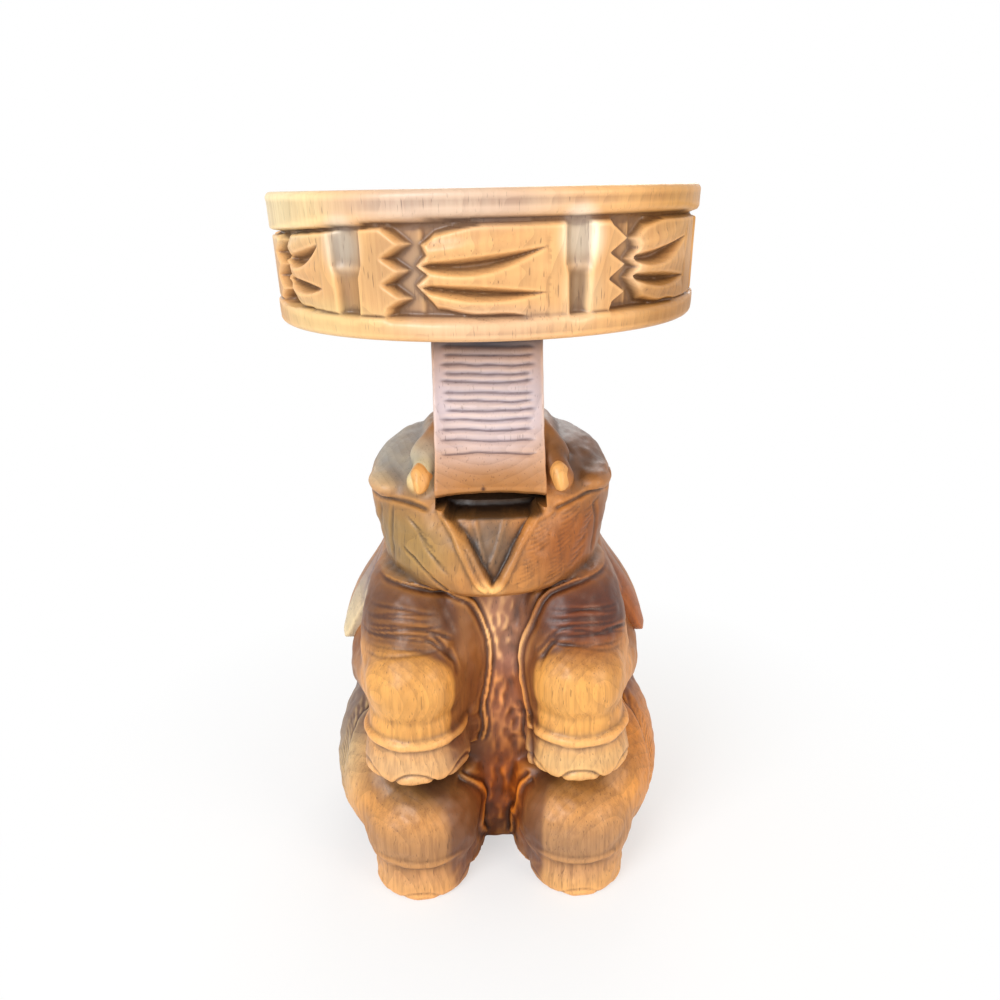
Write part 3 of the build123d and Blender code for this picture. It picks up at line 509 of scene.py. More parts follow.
def log_wood(name, sap, heart, dark, boundary, spread, centre=(0, 0), gloss=0.42,
             uses_tint_and_heart=True):
    """Lacquered wood of a log that stands upright at centre; boundary is in metres."""
    material = bpy.data.materials.new(name)
    n = Nodes(material)
    pale = tuple(min(1.0, part * 1.35) for part in sap[:3]) + (1,)
    where = n.add("ShaderNodeTexCoord")["Object"]

    def noise(stretch, detail, **more):
        """Cloudy pattern, finer along the axes with the bigger numbers."""
        spots = n.add("ShaderNodeMapping", Vector=where, Scale=stretch)[0]
        return n.add("ShaderNodeTexNoise", Vector=spots, Scale=1.0, Detail=detail, **more)[0]

    bend = noise((9, 9, 4), 2.0)
    streak = noise((330, 330, 9), 4.0, Roughness=0.65)
    pores = n.ramp(noise((900, 900, 70), 1.0), 0.64, 0.74)
    broad = noise((34, 34, 7), 3.0)
    # distance from the log's middle line, bent a little
    shifted = n.add("ShaderNodeMapping", Vector=where,
                    Location=(-centre[0] * MM, -centre[1] * MM, 0))[0]
    x, y = n.add("ShaderNodeSeparateXYZ", Vector=shifted)[:2]
    reach = n.math("SQRT", n.math("ADD", n.math("MULTIPLY", x, x), n.math("MULTIPLY", y, y)))
    reach = n.math("ADD", reach, n.math("MULTIPLY", n.math("SUBTRACT", bend, 0.5), BEND))
    # growth rings, dark on their outer side
    rings = n.math("FRACT", n.math("MULTIPLY", reach, RINGS_PER_METRE))
    rings = n.math("POWER", rings, 2.5)
    # heart to sap
    edge = n.math("ADD", reach, n.math("MULTIPLY", n.math("SUBTRACT", streak, 0.5), 0.008))
    if uses_tint_and_heart:
        shift = n.math("MULTIPLY", n.attribute("heart")["Fac"], HEART_SHIFT)
        edge = n.math("SUBTRACT", edge, shift)
    wood = n.mix(n.ramp(edge, boundary - spread, boundary + spread), heart, sap)
    wood = n.mix(n.math("MULTIPLY", rings, 0.22), wood, dark)
    wood = n.mix(n.ramp(broad, 0.45, 0.75, 0.0, 0.38), wood, heart)
    wood = n.mix(n.ramp(broad, 0.50, 0.22, 0.0, 0.22), wood, pale)
    wood = n.mix(n.ramp(streak, 0.38, 0.7, 0.0, 0.40), wood, heart)
    wood = n.mix(n.math("MULTIPLY", pores, 0.5), wood, dark)
    # painted shade in the cuts, a painted highlight on the ridges, then the tint, which holds
    # the wood's own tints and painted light
    hollow = n.math("MULTIPLY", n.attribute("hollow")["Fac"], 0.75, clamp=True)
    wood = n.mix(hollow, wood, dark)
    wood = n.mix(n.math("MULTIPLY", n.attribute("edge")["Fac"], 0.5), wood, pale)
    if uses_tint_and_heart:
        wood = n.mix(1.0, wood, n.attribute("tint")["Color"], "MULTIPLY")
    rough = n.ramp(streak, 0.2, 0.8, gloss - 0.05, gloss + 0.12)
    height = n.math("SUBTRACT", n.math("MULTIPLY", streak, 0.5), n.math("MULTIPLY", pores, 0.8))
    bump = n.add("ShaderNodeBump", Strength=0.22, Distance=0.0006, Height=height)[0]
    shader = n.add("ShaderNodeBsdfPrincipled", Base_Color=wood, Roughness=rough, Normal=bump,
                   Coat_Weight=0.15, Coat_Roughness=0.34, Specular_IOR_Level=0.36)
    n.add("ShaderNodeOutputMaterial", Surface=shader[0])
    print("finish", name)
    return material


SAP = colour(222, 152, 72)
HEART = colour(124, 72, 36)
DARK = colour(52, 28, 14)
WOOD = {
    "seat": log_wood("seat_log", colour(214, 165, 108), colour(184, 130, 82),
                     colour(72, 42, 28), 0.10, 0.05, (40, 60), 0.36),
    "trunk": log_wood("trunk_log", colour(192, 146, 108), colour(184, 148, 126),
                      colour(88, 60, 50), 0.085, 0.02, (0, 0), 0.32),
    "head": log_wood("head_log", colour(182, 122, 62), colour(122, 84, 50), DARK, 0.098, 0.018),
    "ear": log_wood("ear_log", SAP, colour(146, 96, 58), DARK, 0.112, 0.012),
    "tusk": log_wood("tusk_wood_finish", colour(228, 170, 98), colour(200, 140, 74),
                     colour(120, 74, 36), 0.09, 0.03),
    "body": log_wood("body_log", SAP, HEART, DARK, 0.128, 0.012),
    "belly": log_wood("belly_slat", SAP, HEART, DARK, 0.128, 0.012),
    "leg": log_wood("leg_log", SAP, HEART, DARK, 0.128, 0.007),
    "dowel": log_wood("dowel_rod", colour(222, 184, 128), colour(206, 162, 104),
                      colour(150, 104, 62), 0.05, 0.05, uses_tint_and_heart=False),
}


# %% [markdown]
# ### Tints and painted light
#
# The colour isn't the same all over. The belly is redder and the shoulders are darker. Patches
# of painted light are laid on the same way: a painted reflection greys the top of the head and
# cools the left side, painted highlights lie on the belly, the knees, the ankle beads and the
# lip, and painted shade and shadow sit in the mouth, under the forefeet and on the top of the
# trunk under the seat. Two numbers a point carry all that: tint is a colour that the wood is
# multiplied by, and heart moves the line between heartwood and sapwood in or out.


# %% Tint and painted light
SOFT_RIM = 1.35
DARKEST = 0.8


def patch_share(places, centre, radii):
    """1 in the middle of an egg shaped patch, 0 outside it."""
    return ease(SOFT_RIM - np.linalg.norm((places - centre) / radii, axis=1))


def tint_and_paint_light(mesh, patches, shifts=(), darken=0.0):
    """patches: (centre, radii, colour, strength), for the wood's tints and for painted light;
    shifts: (centre, radii, amount); darken: painted shade, 0 to 1 a point.
    """
    places = points(mesh)
    tint = np.ones((len(places), 4))
    for centre, radii, shade, strength in patches:
        share = (patch_share(places, centre, radii) * strength)[:, None]
        tint[:, :3] = tint[:, :3] * (1 - share) + tint[:, :3] * np.array(shade) * share
    # darken is painted shade: where it is 1 the colour drops to a fifth
    tint[:, :3] *= (1 - DARKEST * np.broadcast_to(darken, len(places)))[:, None]
    layer = mesh.attributes.new("tint", "FLOAT_COLOR", "POINT")
    layer.data.foreach_set("color", tint.astype(np.float32).ravel())
    heart = np.zeros(len(places))
    for centre, radii, amount in shifts:
        heart += patch_share(places, centre, radii) * amount
    store(mesh, "heart", heart)


def finish_piece(piece, wood, slot, *nodes):
    """Material, body and the measured nodes that the piece stands for; slot is not used."""
    piece.data.materials.clear()
    piece.data.materials.append(WOOD[wood])
    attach(piece, "root")
    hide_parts(*nodes)


# %% [markdown]
# ## Seat
#
# The seat is a thick disc, turned or sawn round, whose side is carved all the way round
# between a rim and a lower band. The pattern repeats about seven times, never twice the same:
# a scooped channel, a plate whose far edge is notched like a feather, a deep hollow, and three
# long rays with V cuts between them that run out into the next flat. The disc is a profile
# spun round its axis with a point every millimetre. The carving is a map of depths over the
# angle and the height, and each point of the side is pushed in by its depth.

# %% Blank of the seat
SEAT_LOW = 422
SEAT_TOP = 508
SEAT_RADIUS = 151.6
SEAT_FOOT_RADIUS = 148.5
SEAT_MIDDLE = 462.5
TOP_ROUND = 4
FOOT_ROUND = 5
SEAT_STEPS = 900


def seat_profile():
    """(radius, height) down the side, close together where the carving is."""
    rows = []
    for turn_share in np.linspace(0, 1, 6):
        angle = turn_share * pi / 2
        rows.append((SEAT_RADIUS - TOP_ROUND + TOP_ROUND * sin(angle),
                     SEAT_TOP - TOP_ROUND + TOP_ROUND * cos(angle)))
    for z in np.concatenate((np.arange(501.5, 487, -2.0), np.arange(486.6, 436, -0.78),
                             np.arange(435.0, 428, -1.8))):
        share = (z - SEAT_LOW) / (SEAT_TOP - SEAT_LOW)
        rows.append((SEAT_FOOT_RADIUS + (SEAT_RADIUS - SEAT_FOOT_RADIUS) * share, z))
    for turn_share in np.linspace(0, 1, 6):
        angle = turn_share * pi / 2
        rows.append((SEAT_FOOT_RADIUS - FOOT_ROUND + FOOT_ROUND * cos(angle),
                     SEAT_LOW + FOOT_ROUND - FOOT_ROUND * sin(angle)))
    return rows


bm = bmesh.new()
profile = [bm.verts.new((0, -radius * MM, z * MM)) for radius, z in seat_profile()]
line = [bm.edges.new(pair) for pair in zip(profile, profile[1:])]
bmesh.ops.spin(bm, geom=profile + line, cent=(0, 0, 0), axis=(0, 0, 1), angle=2 * pi,
               steps=SEAT_STEPS, use_merge=True)
bmesh.ops.remove_doubles(bm, verts=bm.verts, dist=1e-6)
rims = [edge for edge in bm.edges if edge.is_boundary]
bmesh.ops.holes_fill(bm, edges=rims, sides=0)
seat = new_object("seat", bm)
print("seat blank", len(seat.data.polygons), "faces")


# %% Depth map of the frieze
UNITS = (
    # flute from, to; tips of the plate; start of the rays; tips of the V cuts (degrees)
    (-86.0, -77.5, -66.0, -60.8, -43.0),
    (-39.1, -29.9, -20.6, -14.2, 14.8),
    (18.6, 25.6, 34.4, 39.2, 61.6),
    (69.0, 77.0, 87.0, 92.0, 113.0),
    (119.5, 127.5, 137.0, 142.0, 164.5),
    (171.0, 179.0, 189.0, 194.5, 217.0),
    (223.0, 230.5, 240.0, 245.5, 267.0),
)


def between(value, low, high, edge):
    """1 between low and high, with soft edges."""
    return ease((value - low) / edge + 0.5) * ease((high - value) / edge + 0.5)


def wedge(v, low, high, slope, deepest):
    """Depth of a V cut between two lines."""
    return np.clip(np.minimum(v - low, high - v) * slope, 0, deepest)


MM_A_DEGREE = 2.618
HOLLOW_DEPTH = 10.5


def frieze_depth(angle, v):
    """Depth below the side, for an angle in degrees and a height from the frieze's middle."""
    top = np.interp(angle, [-180, -120, -70, -45, -20, 0, 30, 60, 90, 130, 180],
                    [25, 23, 21.3, 24.2, 28.6, 29.6, 29.8, 29, 27, 26, 25])
    low = np.interp(angle, [-180, -70, -35, 0, 40, 75, 130, 180],
                    [-25, -24, -27, -27.5, -27, -25, -24.5, -25])
    field = between(v, low, top, 1.2)
    depth = 1.6 + 0.35 * np.sin(np.radians(angle * 5))
    depth = np.maximum(depth, 8.0 * between(v, top - 3.0, top + 0.6, 1.4))
    depth = np.maximum(depth, 3.2 * between(v, low - 0.4, low + 1.6, 1.2))
    for number, (flute_a, flute_b, tips, rays, ends) in enumerate(UNITS):
        for turn_back in (-360, 0, 360):
            a = angle + turn_back
            near = (a > flute_a - 6) & (a < ends + 12)
            if not near.any():
                continue
            wobble = np.sin(number * 2.1 + np.array([0, 1.7, 3.1, 4.4]))
            # scooped channel, wider at the top than at the foot
            middle = (flute_a + flute_b) / 2
            half = (flute_b - flute_a) / 2
            half = half * np.interp(v, [-25, -3, 3, 20], [0.72, 0.8, 1.0, 1.05])
            across = np.clip(1 - ((a - middle) / half) ** 2, 0, 1)
            scoop = 6.4 * np.sqrt(across) + 1.5
            pinch = 0.8 * np.exp(-((v - 1) / 3.0) ** 2) * ease(across * 2)
            depth = np.where(across > 0, np.maximum(depth, scoop - pinch), depth)
            # notched edge of the plate, then the hollow
            notches = np.interp(v, [-26, -21, -15.5, -7.5, 0.5, 7.5, 15.5, 24, 29],
                                [-4.2, -3.4, 0.4, -4.6, 0.2, -4.4, 0.6, -4.0, -4.8])
            plate_edge = tips + notches + 0.4 * wobble[0]
            start = rays + np.interp(v, [-24, -14, -8, -2, 3, 9, 15, 24],
                                     [3.5, 0.6, -1.6, 0.9, -1.4, 0.8, 0.0, 4.0])
            in_hollow = np.clip(np.minimum((a - plate_edge) * MM_A_DEGREE,
                                           (start - a) * MM_A_DEGREE + 2), 0, 9)
            hollow = np.clip(in_hollow * 2.0, 0, HOLLOW_DEPTH)
            depth = np.where(near, np.maximum(depth, hollow), depth)
            # V cuts between the rays
            s = np.clip((a - rays + 1.5) / (ends - rays + 1.5), 0, 1)
            open_cut = (s > 0) & (s < 1) & near
            belly = np.sin(pi * s ** 1.05) ** 0.8
            one = 4.5 - 3.5 * np.sin(pi * s) * 0.55 + 10.0 * s ** 1.6 + wobble[1]
            two = -7.6 - 2.2 * np.sin(pi * s) * 0.5 - 4.0 * s + wobble[2]
            for mid, fat in ((one, 5.4), (two, 4.6)):
                gap = fat * belly * (0.8 + 0.2 * (1 - s)) + 1.2 * (1 - s)
                cut = wedge(v, mid - gap * 1.3, mid + gap * 0.7, 2.0, 9.0)
                depth = np.where(open_cut, np.maximum(depth, cut + 1.2 * (cut > 0)), depth)
            # dark wedges above the upper ray and below the lower one
            roof = 15.5 + 15.0 * s ** 0.8 + wobble[3] * 0.6
            ground = -19.6 - 2.2 * s - 5.6 * s ** 2.2 + 1.1 * np.sin(s * 11)
            above = np.clip((v - roof) * 2.0, 0, 8.5) * (v < top + 0.5)
            below = np.clip((ground - v) * 2.0, 0, 7.5) * (v > low - 0.5)
            fade = open_cut & (s < 0.985)
            depth = np.where(fade, np.maximum(depth, np.maximum(above, below)), depth)
            # the rays round over and dip towards the hollow
            dip = 3.4 * (1 - ease(s * 2.6)) * open_cut
            crown = 0.0
            for mid in (roof - (roof - one) * 0.5, (one + two) / 2, (two + ground) / 2):
                crown = np.maximum(crown, np.exp(-((v - mid) / 4.2) ** 2))
            rounded = dip * 0.6 + 2.6 * (1 - crown) * (1 - 0.8 * s)
            depth = depth + np.where(open_cut, rounded, 0) * ease(s * 9)
    return depth * field + 0.5 * (1 - field) * (0.5 + 0.5 * np.sin(np.radians(angle * 3 + 40)))


# %% Carve the seat
DEEPEST = 11.5

places = points(seat.data)
angles = np.degrees(np.arctan2(places[:, 0], -places[:, 1]))
heights = places[:, 2] - SEAT_MIDDLE
radius = np.hypot(places[:, 0], places[:, 1])
side = (radius > 140) & (places[:, 2] < SEAT_TOP - 5) & (places[:, 2] > SEAT_LOW + 4.9)
depth = np.where(side, frieze_depth(angles, heights), 0)
depth = np.minimum(depth, DEEPEST)
scale = np.where(radius > 1, (radius - depth) / np.maximum(radius, 1), 1)
places[:, :2] *= scale[:, None]
put_points(seat.data, places)
soft_places = relax(seat.data, places, 2, 0.35)
flat_rim = (places[:, 2] > SEAT_TOP - 4.5) | (places[:, 2] < SEAT_LOW + 5.5)
soft_places[flat_rim] = places[flat_rim]
put_points(seat.data, soft_places)
seat.data.shade_smooth()
keep_sharp(seat)
store_hollows(seat.data)
# painted shade: the deepest cuts of the frieze are darkened further
hollow = np.empty(len(places), dtype=np.float32)
seat.data.attributes["hollow"].data.foreach_get("value", hollow)
deep = np.clip((depth - 4.5) / 5.5, 0, 1)
seat.data.attributes["hollow"].data.foreach_set(
    "value", np.clip(hollow * 1.1 + deep * 0.5, 0, 1).astype(np.float32))
tint_and_paint_light(seat.data, [
    # painted cool reflections on the rim, at the left and at the front
    ((-140, -80, 500), (60, 80, 26), (1.05, 1.45, 1.9), 1.0),
    ((-20, -150, 500), (80, 60, 14), (0.76, 1.0, 1.9), 0.9),
    # warmer and darker on the right of the rim and of the lower band
    ((150, -60, 500), (70, 100, 30), (0.76, 0.68, 0.36), 1.0),
    ((140, -90, 434), (60, 80, 32), (0.54, 0.44, 0.22), 0.85),
    # painted cool reflections on the lower band, at the left and at the front
    ((-110, -110, 432), (60, 60, 14), (0.98, 1.2, 1.3), 0.8),
    ((0, -150, 432), (60, 60, 12), (0.90, 1.04, 1.6), 0.8),
    # darker and greyer over the plate and hollow at the front left
    ((-58, -138, 462), (26, 40, 26), (0.78, 0.78, 0.80), 0.8),
    # painted blue-white reflections in the flutes and in two hollows
    ((-86, -124, 476), (13, 30, 17), (0.85, 1.3, 2.5), 0.9),
    ((-43, -144, 462), (9, 30, 26), (1.3, 1.6, 2.3), 0.8),
    ((90, -120, 462), (9, 30, 26), (1.2, 1.45, 2.1), 0.8),
    ((57, -139, 480), (13, 30, 17), (1.5, 2.4, 4.6), 0.9),
    ((57, -139, 448), (13, 30, 17), (1.05, 1.3, 1.8), 0.8),
])
finish_piece(seat, "seat", "seat_wood", "seat_drum")
print("frieze carved, deepest", round(float(depth.max()), 1), "mm")

# %% [markdown]
# ## Figure, block-out
#
# The figure is one heap of shapes: the body as a loft of level ovals, a big egg for each
# haunch, shoulders that come down to the bent forelegs, a ball for each knee, a bead round
# each ankle and a drum for each foot. The head is a second loft, with broad cheeks and a low
# crown, that juts out over the chest. A short neck fills the corner at the sides and the
# back, where the real one flows from head to back without a step.

# %% Figure block-out
NECK = 244
BROW = 300
TORSO_ROWS = (
    (0, 104, 70, 99), (5, 111, 73, 106), (28, 121, 77, 121), (72, 126, 82, 131),
    (110, 121, 85, 127), (142, 112, 87, 118), (170, 106, 88, 108), (196, 98, 88, 98),
    (225, 85, 88, 84), (246, 78, 86, 70))
JAW_ROWS = (
    (240, 72, 113, 52), (245, 79, 118, 60), (256, 83, 119.5, 64), (272, 86, 117, 66),
    (286, 90, 112, 67), (300, 92, 106, 67))
CROWN_ROWS = (
    (306, 91, 101, 66), (315, 87, 93, 63), (324, 80, 82, 59), (331, 68, 71, 54),
    (335, 50, 60, 46), (336.5, 28, 40, 34))
INNER_LEG = {-1: -26, 1: 39}
LEG_X = 60
HIND_Y = -100
FORE_Y = -99
FORE_SOLE = 103
FORE_BEAD = 134.5
HIND_BEAD = 34
FINE_VOXEL = 1.35
VOXEL = FINE_VOXEL


def foot_drum(bm, x, y, low, height, radius, ankle, slim=1.0):
    """Foot: wider at the sole, with a softened sole edge; slim narrows it sideways."""
    rows = ((low, radius - 4.5), (low + 1.6, radius - 1.2), (low + 5, radius),
            (low + height * 0.45, radius - 0.8), (low + height, ankle))
    loft(bm, [(z, r * slim, -y + r, y + r) for z, r in rows], x=x)


def limb(bm, start, end, thick_start, thick_end):
    """Tapered rod between two points, with a ball at each end."""
    a, b = Vector(start), Vector(end)
    way = (b - a).to_track_quat("Z", "Y").to_matrix().to_4x4()
    shape = at(*((a + b) / 2)) @ way
    bmesh.ops.create_cone(bm, cap_ends=True, segments=40, radius1=thick_start * MM,
                          radius2=thick_end * MM, depth=(b - a).length * MM, matrix=shape)
    ball(bm, start, (thick_start,) * 3)
    ball(bm, end, (thick_end,) * 3)


def figure_blocks():
    """Everything that the skin will grow over."""
    bm = bmesh.new()
    loft(bm, TORSO_ROWS)
    loft(bm, JAW_ROWS + CROWN_ROWS)
    loft(bm, [(222, 88, 56, 86), (240, 84, 52, 80), (256, 81, 48, 72), (272, 78, 40, 62)])
    for side in (-1, 1):
        x = side * LEG_X
        # haunch and hind leg
        ball(bm, (side * 82, -22, 66), (51, 98, 60), 4)
        ball(bm, (x, -97, 50), (45, 44.5, 40))
        loft(bm, [(0, 19, 104, -30), (30, 21, 108, -30), (60, 22, 106, -40), (86, 18, 96, -50)],
             x=side * 31)
        loft(bm, [(24, 41, 137, -60), (44, 45, 139, -60)], x=x)
        foot_drum(bm, x, HIND_Y, 0, 33, 41, 37.5, 0.92)
        ring(bm, (x, HIND_Y, HIND_BEAD), 38.0, 3.0)
        # shoulder, upper arm, forearm and foot
        loft(bm, [(120, 33, 116, -50), (140, 38, 121, -40), (160, 43, 122, -25),
                  (182, 45, 121, -15), (204, 43, 118, -8), (222, 39, 111, -4),
                  (236, 34, 101, 0), (246, 27, 90, 0)], x=side * 57)
        loft(bm, [(104, 19, 90, -40), (150, 20, 98, -40), (190, 22, 102, -40),
                  (212, 20, 101, -40), (236, 16, 96, -40)], x=INNER_LEG[side])
        ball(bm, (side * 62, -38, 202), (33, 54, 40))
        limb(bm, (side * 74, -20, 194), (side * 85, -30, 156), 32, 31)
        limb(bm, (side * 86, -36, 150), (x, -98, 166), 30, 35)
        ball(bm, (side * 84, -10, 138), (34, 40, 30))
        ball(bm, (x, -102, 171), (35.5, 36, 36))
        loft(bm, [(128, 34, 133, -62), (150, 34.5, 135, -62)], x=x)
        foot_drum(bm, x, FORE_Y, FORE_SOLE, 29, 40, 35)
        ring(bm, (x, FORE_Y, FORE_BEAD), 34.8, 4.2)
        # the trunk's spread root, and the fold of skin that runs down beside it to the tusk
        limb(bm, (side * 31, -54, 352), (side * 46, -64, 329), 8, 11)
        limb(bm, (side * 40, -64, 336), (side * 49, -81, 316), 8, 10)
        ball(bm, (side * 40, -8, 332), (12, 54, 12))
        # brow over the eye
        ball(bm, (side * 72, -46, 308), (18, 32, 10))
    return new_object("figure_carving", bm)


figure = figure_blocks()
grow_skin(figure, VOXEL)

# %% [markdown]
# ## Figure, softened
#
# The skin is softened so that the blocks flow into each other as they do under a gouge. The
# strength differs: beads, soles, the jaw's overhang and the floor stay crisp.

# %% Soften the figure
places = points(figure.data)
firm = np.zeros(len(places))
for side in (-1, 1):
    for z, reach in ((FORE_BEAD, 7), (HIND_BEAD, 6), (1, 6), (FORE_SOLE + 2, 7)):
        far = np.hypot(places[:, 0] - side * LEG_X, places[:, 1] - FORE_Y)
        firm = np.maximum(firm, between(places[:, 2], z - reach, z + reach, 4) *
                          ease((far - 24) / 8))
jaw_front = ease((-places[:, 1] - 40) / 40) * between(places[:, 2], 236, 262, 8)
firm = np.maximum(firm, 0.8 * jaw_front)
firm = np.maximum(firm, 0.45 * ease((places[:, 2] - 262) / 12))
strength = np.where(places[:, 2] < 3, 0.0, 0.64 - 0.58 * firm)
rounds = int(34 * (FINE_VOXEL / VOXEL) ** 2)
places = relax(figure.data, places, rounds, strength)
places[:, 2] = np.maximum(places[:, 2], 0)

# %% Mouth
# the tongue lies sunk between the lips, and the mouth is a slot above it
x, z = places[:, 0] - 1, places[:, 2]
ahead = places[:, 1] < -40
half = np.interp(z, [247, 252, 275, 296, 304], [0, 3.5, 15, 30, 35])
inside = ease((half - np.abs(x)) / 3.2 + 0.35) * ahead * (z > 245)
sunk = 8.5 * inside * ease((z - 245) / 10 + 0.2)
slot_top = 309 - 0.004 * x ** 2
slot_low = np.interp(np.abs(x), [0, 26, 36], [295, 294.5, 299])
slot = between(z, slot_low, slot_top, 2.0) * ease((36 - np.abs(x)) / 4) * ahead
places[:, 1] += np.maximum(sunk, 26 * slot)
# mouth_shade marks where the slot gets painted shade, a little wider than the slot so that its
# floor is dark too
mouth_shade = between(z, slot_low - 2.4, slot_top + 1, 2.0) * ease((37 - np.abs(x)) / 4) * ahead
put_points(figure.data, places)
print("softened", rounds, "rounds, mouth cut")

# %% [markdown]
# ## Figure, carving
#
# Then come the cuts. Two beads run in from the shoulders and down the belly, wrinkles cross
# the shoulders, short hair strokes follow the flanks and the cheeks, and every foot gets its
# nails. The eyes are shallow almond cuts on the sides of the head.

# %% Beads and hammered belly
places = points(figure.data)
skin = outward(figure.data)
lift = np.zeros(len(places))
front_side = (skin[:, 1] < 0.3) & (places[:, 1] < -20)
low_front = front_side & (places[:, 2] < 243.5)
BELLY_LEFT = [(-84, 244), (-66, 245), (-48, 241), (-30, 236), (-17, 230), (-12, 221), (-8, 210),
              (-3, 192), (-3, 174), (-6, 152), (-10, 136), (-7, 118), (-12, 102)]
BELLY_RIGHT = [(86, 244), (68, 245), (50, 241), (36, 234), (30, 221), (23, 204), (18, 188),
               (18, 170), (22, 147), (24, 130), (22, 112), (27, 100)]
FOOT_LEFT = [(-30, 84), (-15, 71), (-9, 54), (-12, 42), (-14, 28), (-10, 8)]
FOOT_RIGHT = [(26, 81), (16, 69), (14, 48), (9, 26), (10, 6)]
for bead in (BELLY_LEFT, BELLY_RIGHT, FOOT_LEFT, FOOT_RIGHT):
    stroke(places, lift, "front", bead, 5.5, 2.0, 0.04, low_front)
    stroke(places, lift, "front", bead, 2.3, -3.0, 0.04, low_front)
HAMMER_MARKS = 150
hammer = np.random.default_rng(7)
for _ in range(HAMMER_MARKS):
    z = hammer.uniform(8, 226)
    x = np.interp(z, [0, 50, 100, 180, 230], [0, 2, 6, 8, 9]) + hammer.uniform(-10, 10)
    size = hammer.uniform(3.5, 7.0)
    gap = np.hypot(places[:, 0] - x, (places[:, 2] - z) * 0.5)
    lift -= np.where(low_front, hammer.uniform(0.3, 0.7) * ease(1 - gap / size), 0)
print("belly beaded,", HAMMER_MARKS, "hammer marks")


# %% Shoulder wrinkles
def wrinkle_set(start, end, count, sag, width, depth, seed):
    """Curved strokes from one line to another, evenly but not exactly spaced."""
    made = []
    local = np.random.default_rng(seed)
    for share in np.linspace(0, 1, count):
        a = np.array(start[0]) * (1 - share) + np.array(start[1]) * share
        b = np.array(end[0]) * (1 - share) + np.array(end[1]) * share
        a = a + local.normal(0, 2.2, 2)
        b = b + local.normal(0, 2.2, 2)
        middle = (a + b) / 2 + np.array((0, sag))
        made.append(([tuple(a), tuple(middle), tuple(b)], width,
                     depth * local.uniform(0.7, 1.2)))
    return made


SHOULDER_WRINKLES = (
    wrinkle_set(((-94, 222), (-100, 192)), ((-40, 226), (-34, 200)), 9, 7, 1.6, 0.6, 1)
    + wrinkle_set(((36, 226), (32, 200)), ((92, 222), (100, 192)), 9, 7, 1.6, 0.6, 2)
    + wrinkle_set(((28, 206), (30, 178)), ((60, 218), (46, 207)), 4, 6, 2.0, 0.9, 3)
    + wrinkle_set(((-62, 217), (-40, 207)), ((-30, 200), (-28, 176)), 4, 6, 2.0, 0.9, 4)
    + wrinkle_set(((70, 212), (92, 206)), ((96, 203), (108, 190)), 6, 3, 1.5, 0.7, 5))
for path, width, depth in SHOULDER_WRINKLES:
    stroke(places, lift, "front", path, width, depth, 0.3, low_front)
print("shoulder wrinkles", len(SHOULDER_WRINKLES))

# %% Nails
# direction of each nail from straight ahead, in degrees, and how deep it is cut
NAILS = ((-62, 0.5), (0, 1.0), (62, 0.5))
NAIL_Y = -99.5
NAIL_RADIUS = 10.5
for side in (-1, 1):
    across = places[:, 0] - side * LEG_X
    for low, radius, tall, plain in ((FORE_SOLE, 39, 11, 1.0), (0, 40, 9, 0.35)):
        turn = np.arctan2(across, NAIL_Y - places[:, 1])
        foot = between(places[:, 2], low + 1, low + 29, 4)
        foot = foot * (np.hypot(across, places[:, 1] - NAIL_Y) < 50)
        lift -= foot * 0.5 * np.abs(np.sin(turn * 3.5 + 0.4 + 0.7 * np.sin(places[:, 2] * 0.2)))
        for nail, share in NAILS:
            share *= plain
            turn_x = sin(radians(nail))
            turn_y = -cos(radians(nail))
            centre = (side * LEG_X + radius * turn_x, NAIL_Y + radius * turn_y)
            along = (places[:, 0] - centre[0]) * -turn_y + (places[:, 1] - centre[1]) * turn_x
            ahead = (places[:, 0] - centre[0]) * turn_x + (places[:, 1] - centre[1]) * turn_y
            rise = (places[:, 2] - low + 1)
            gap = np.hypot(along * 0.72, rise * NAIL_RADIUS / tall)
            on_nail = (np.abs(ahead) < 12) & (rise < tall + 6) & (rise > -4)
            rim = ease(1 - np.abs(gap - NAIL_RADIUS) / 1.8)
            lift -= np.where(on_nail, 1.7 * share * rim, 0)
            lift += np.where(on_nail, 0.6 * share * ease((9.5 - gap) / 3), 0)
print("nails on each foot", len(NAILS))

# %% Flank strokes, haunch line and tail
side_skin = (np.abs(skin[:, 0]) > 0.25) & (np.abs(places[:, 0]) > 76)
flank = np.random.default_rng(11)
HAUNCH = [(-104, 92), (-84, 116), (-50, 130), (-10, 134), (34, 124), (66, 100)]
FLANK_STROKES = 36
for side in (-1, 1):
    mine = side_skin & (np.sign(places[:, 0]) == side) & (places[:, 2] < 142)
    stroke(places, lift, "side", HAUNCH, 4.5, 2.2, 0.15, mine)
    spine = np.array(smooth_path([(-98, 24), (-84, 60), (-70, 98), (-44, 120)]))
    for step in range(FLANK_STROKES):
        place = step / (FLANK_STROKES - 1) * (len(spine) - 1)
        spot = np.array([np.interp(place, range(len(spine)), spine[:, axis])
                         for axis in (0, 1)])
        tip = spot + (-9 + flank.normal(0, 1), -6 + flank.normal(0, 0.8))
        tail_end = spot + (17 + flank.normal(0, 2), 3)
        stroke(places, lift, "side", [tip, spot + (2, 0), tail_end], 2.0, 1.1, 0.3, mine)
back_side = places[:, 1] > 60
TAIL = [(4, 150), (2, 118), (-3, 84), (0, 52)]
stroke(places, lift, "front", TAIL, 11, 2.5, 0.08, back_side)
stroke(places, lift, "front", TAIL, 6.5, -6.5, 0.08, back_side)
for spread in (-5, -2, 1, 4):
    tuft = [(spread * 0.4 - 1, 62), (spread * 1.3, 40), (spread * 2.0, 22)]
    stroke(places, lift, "front", tuft, 3.2, -2.2, 0.25, back_side)
print("flank strokes", 2 * FLANK_STROKES, "and a tail")

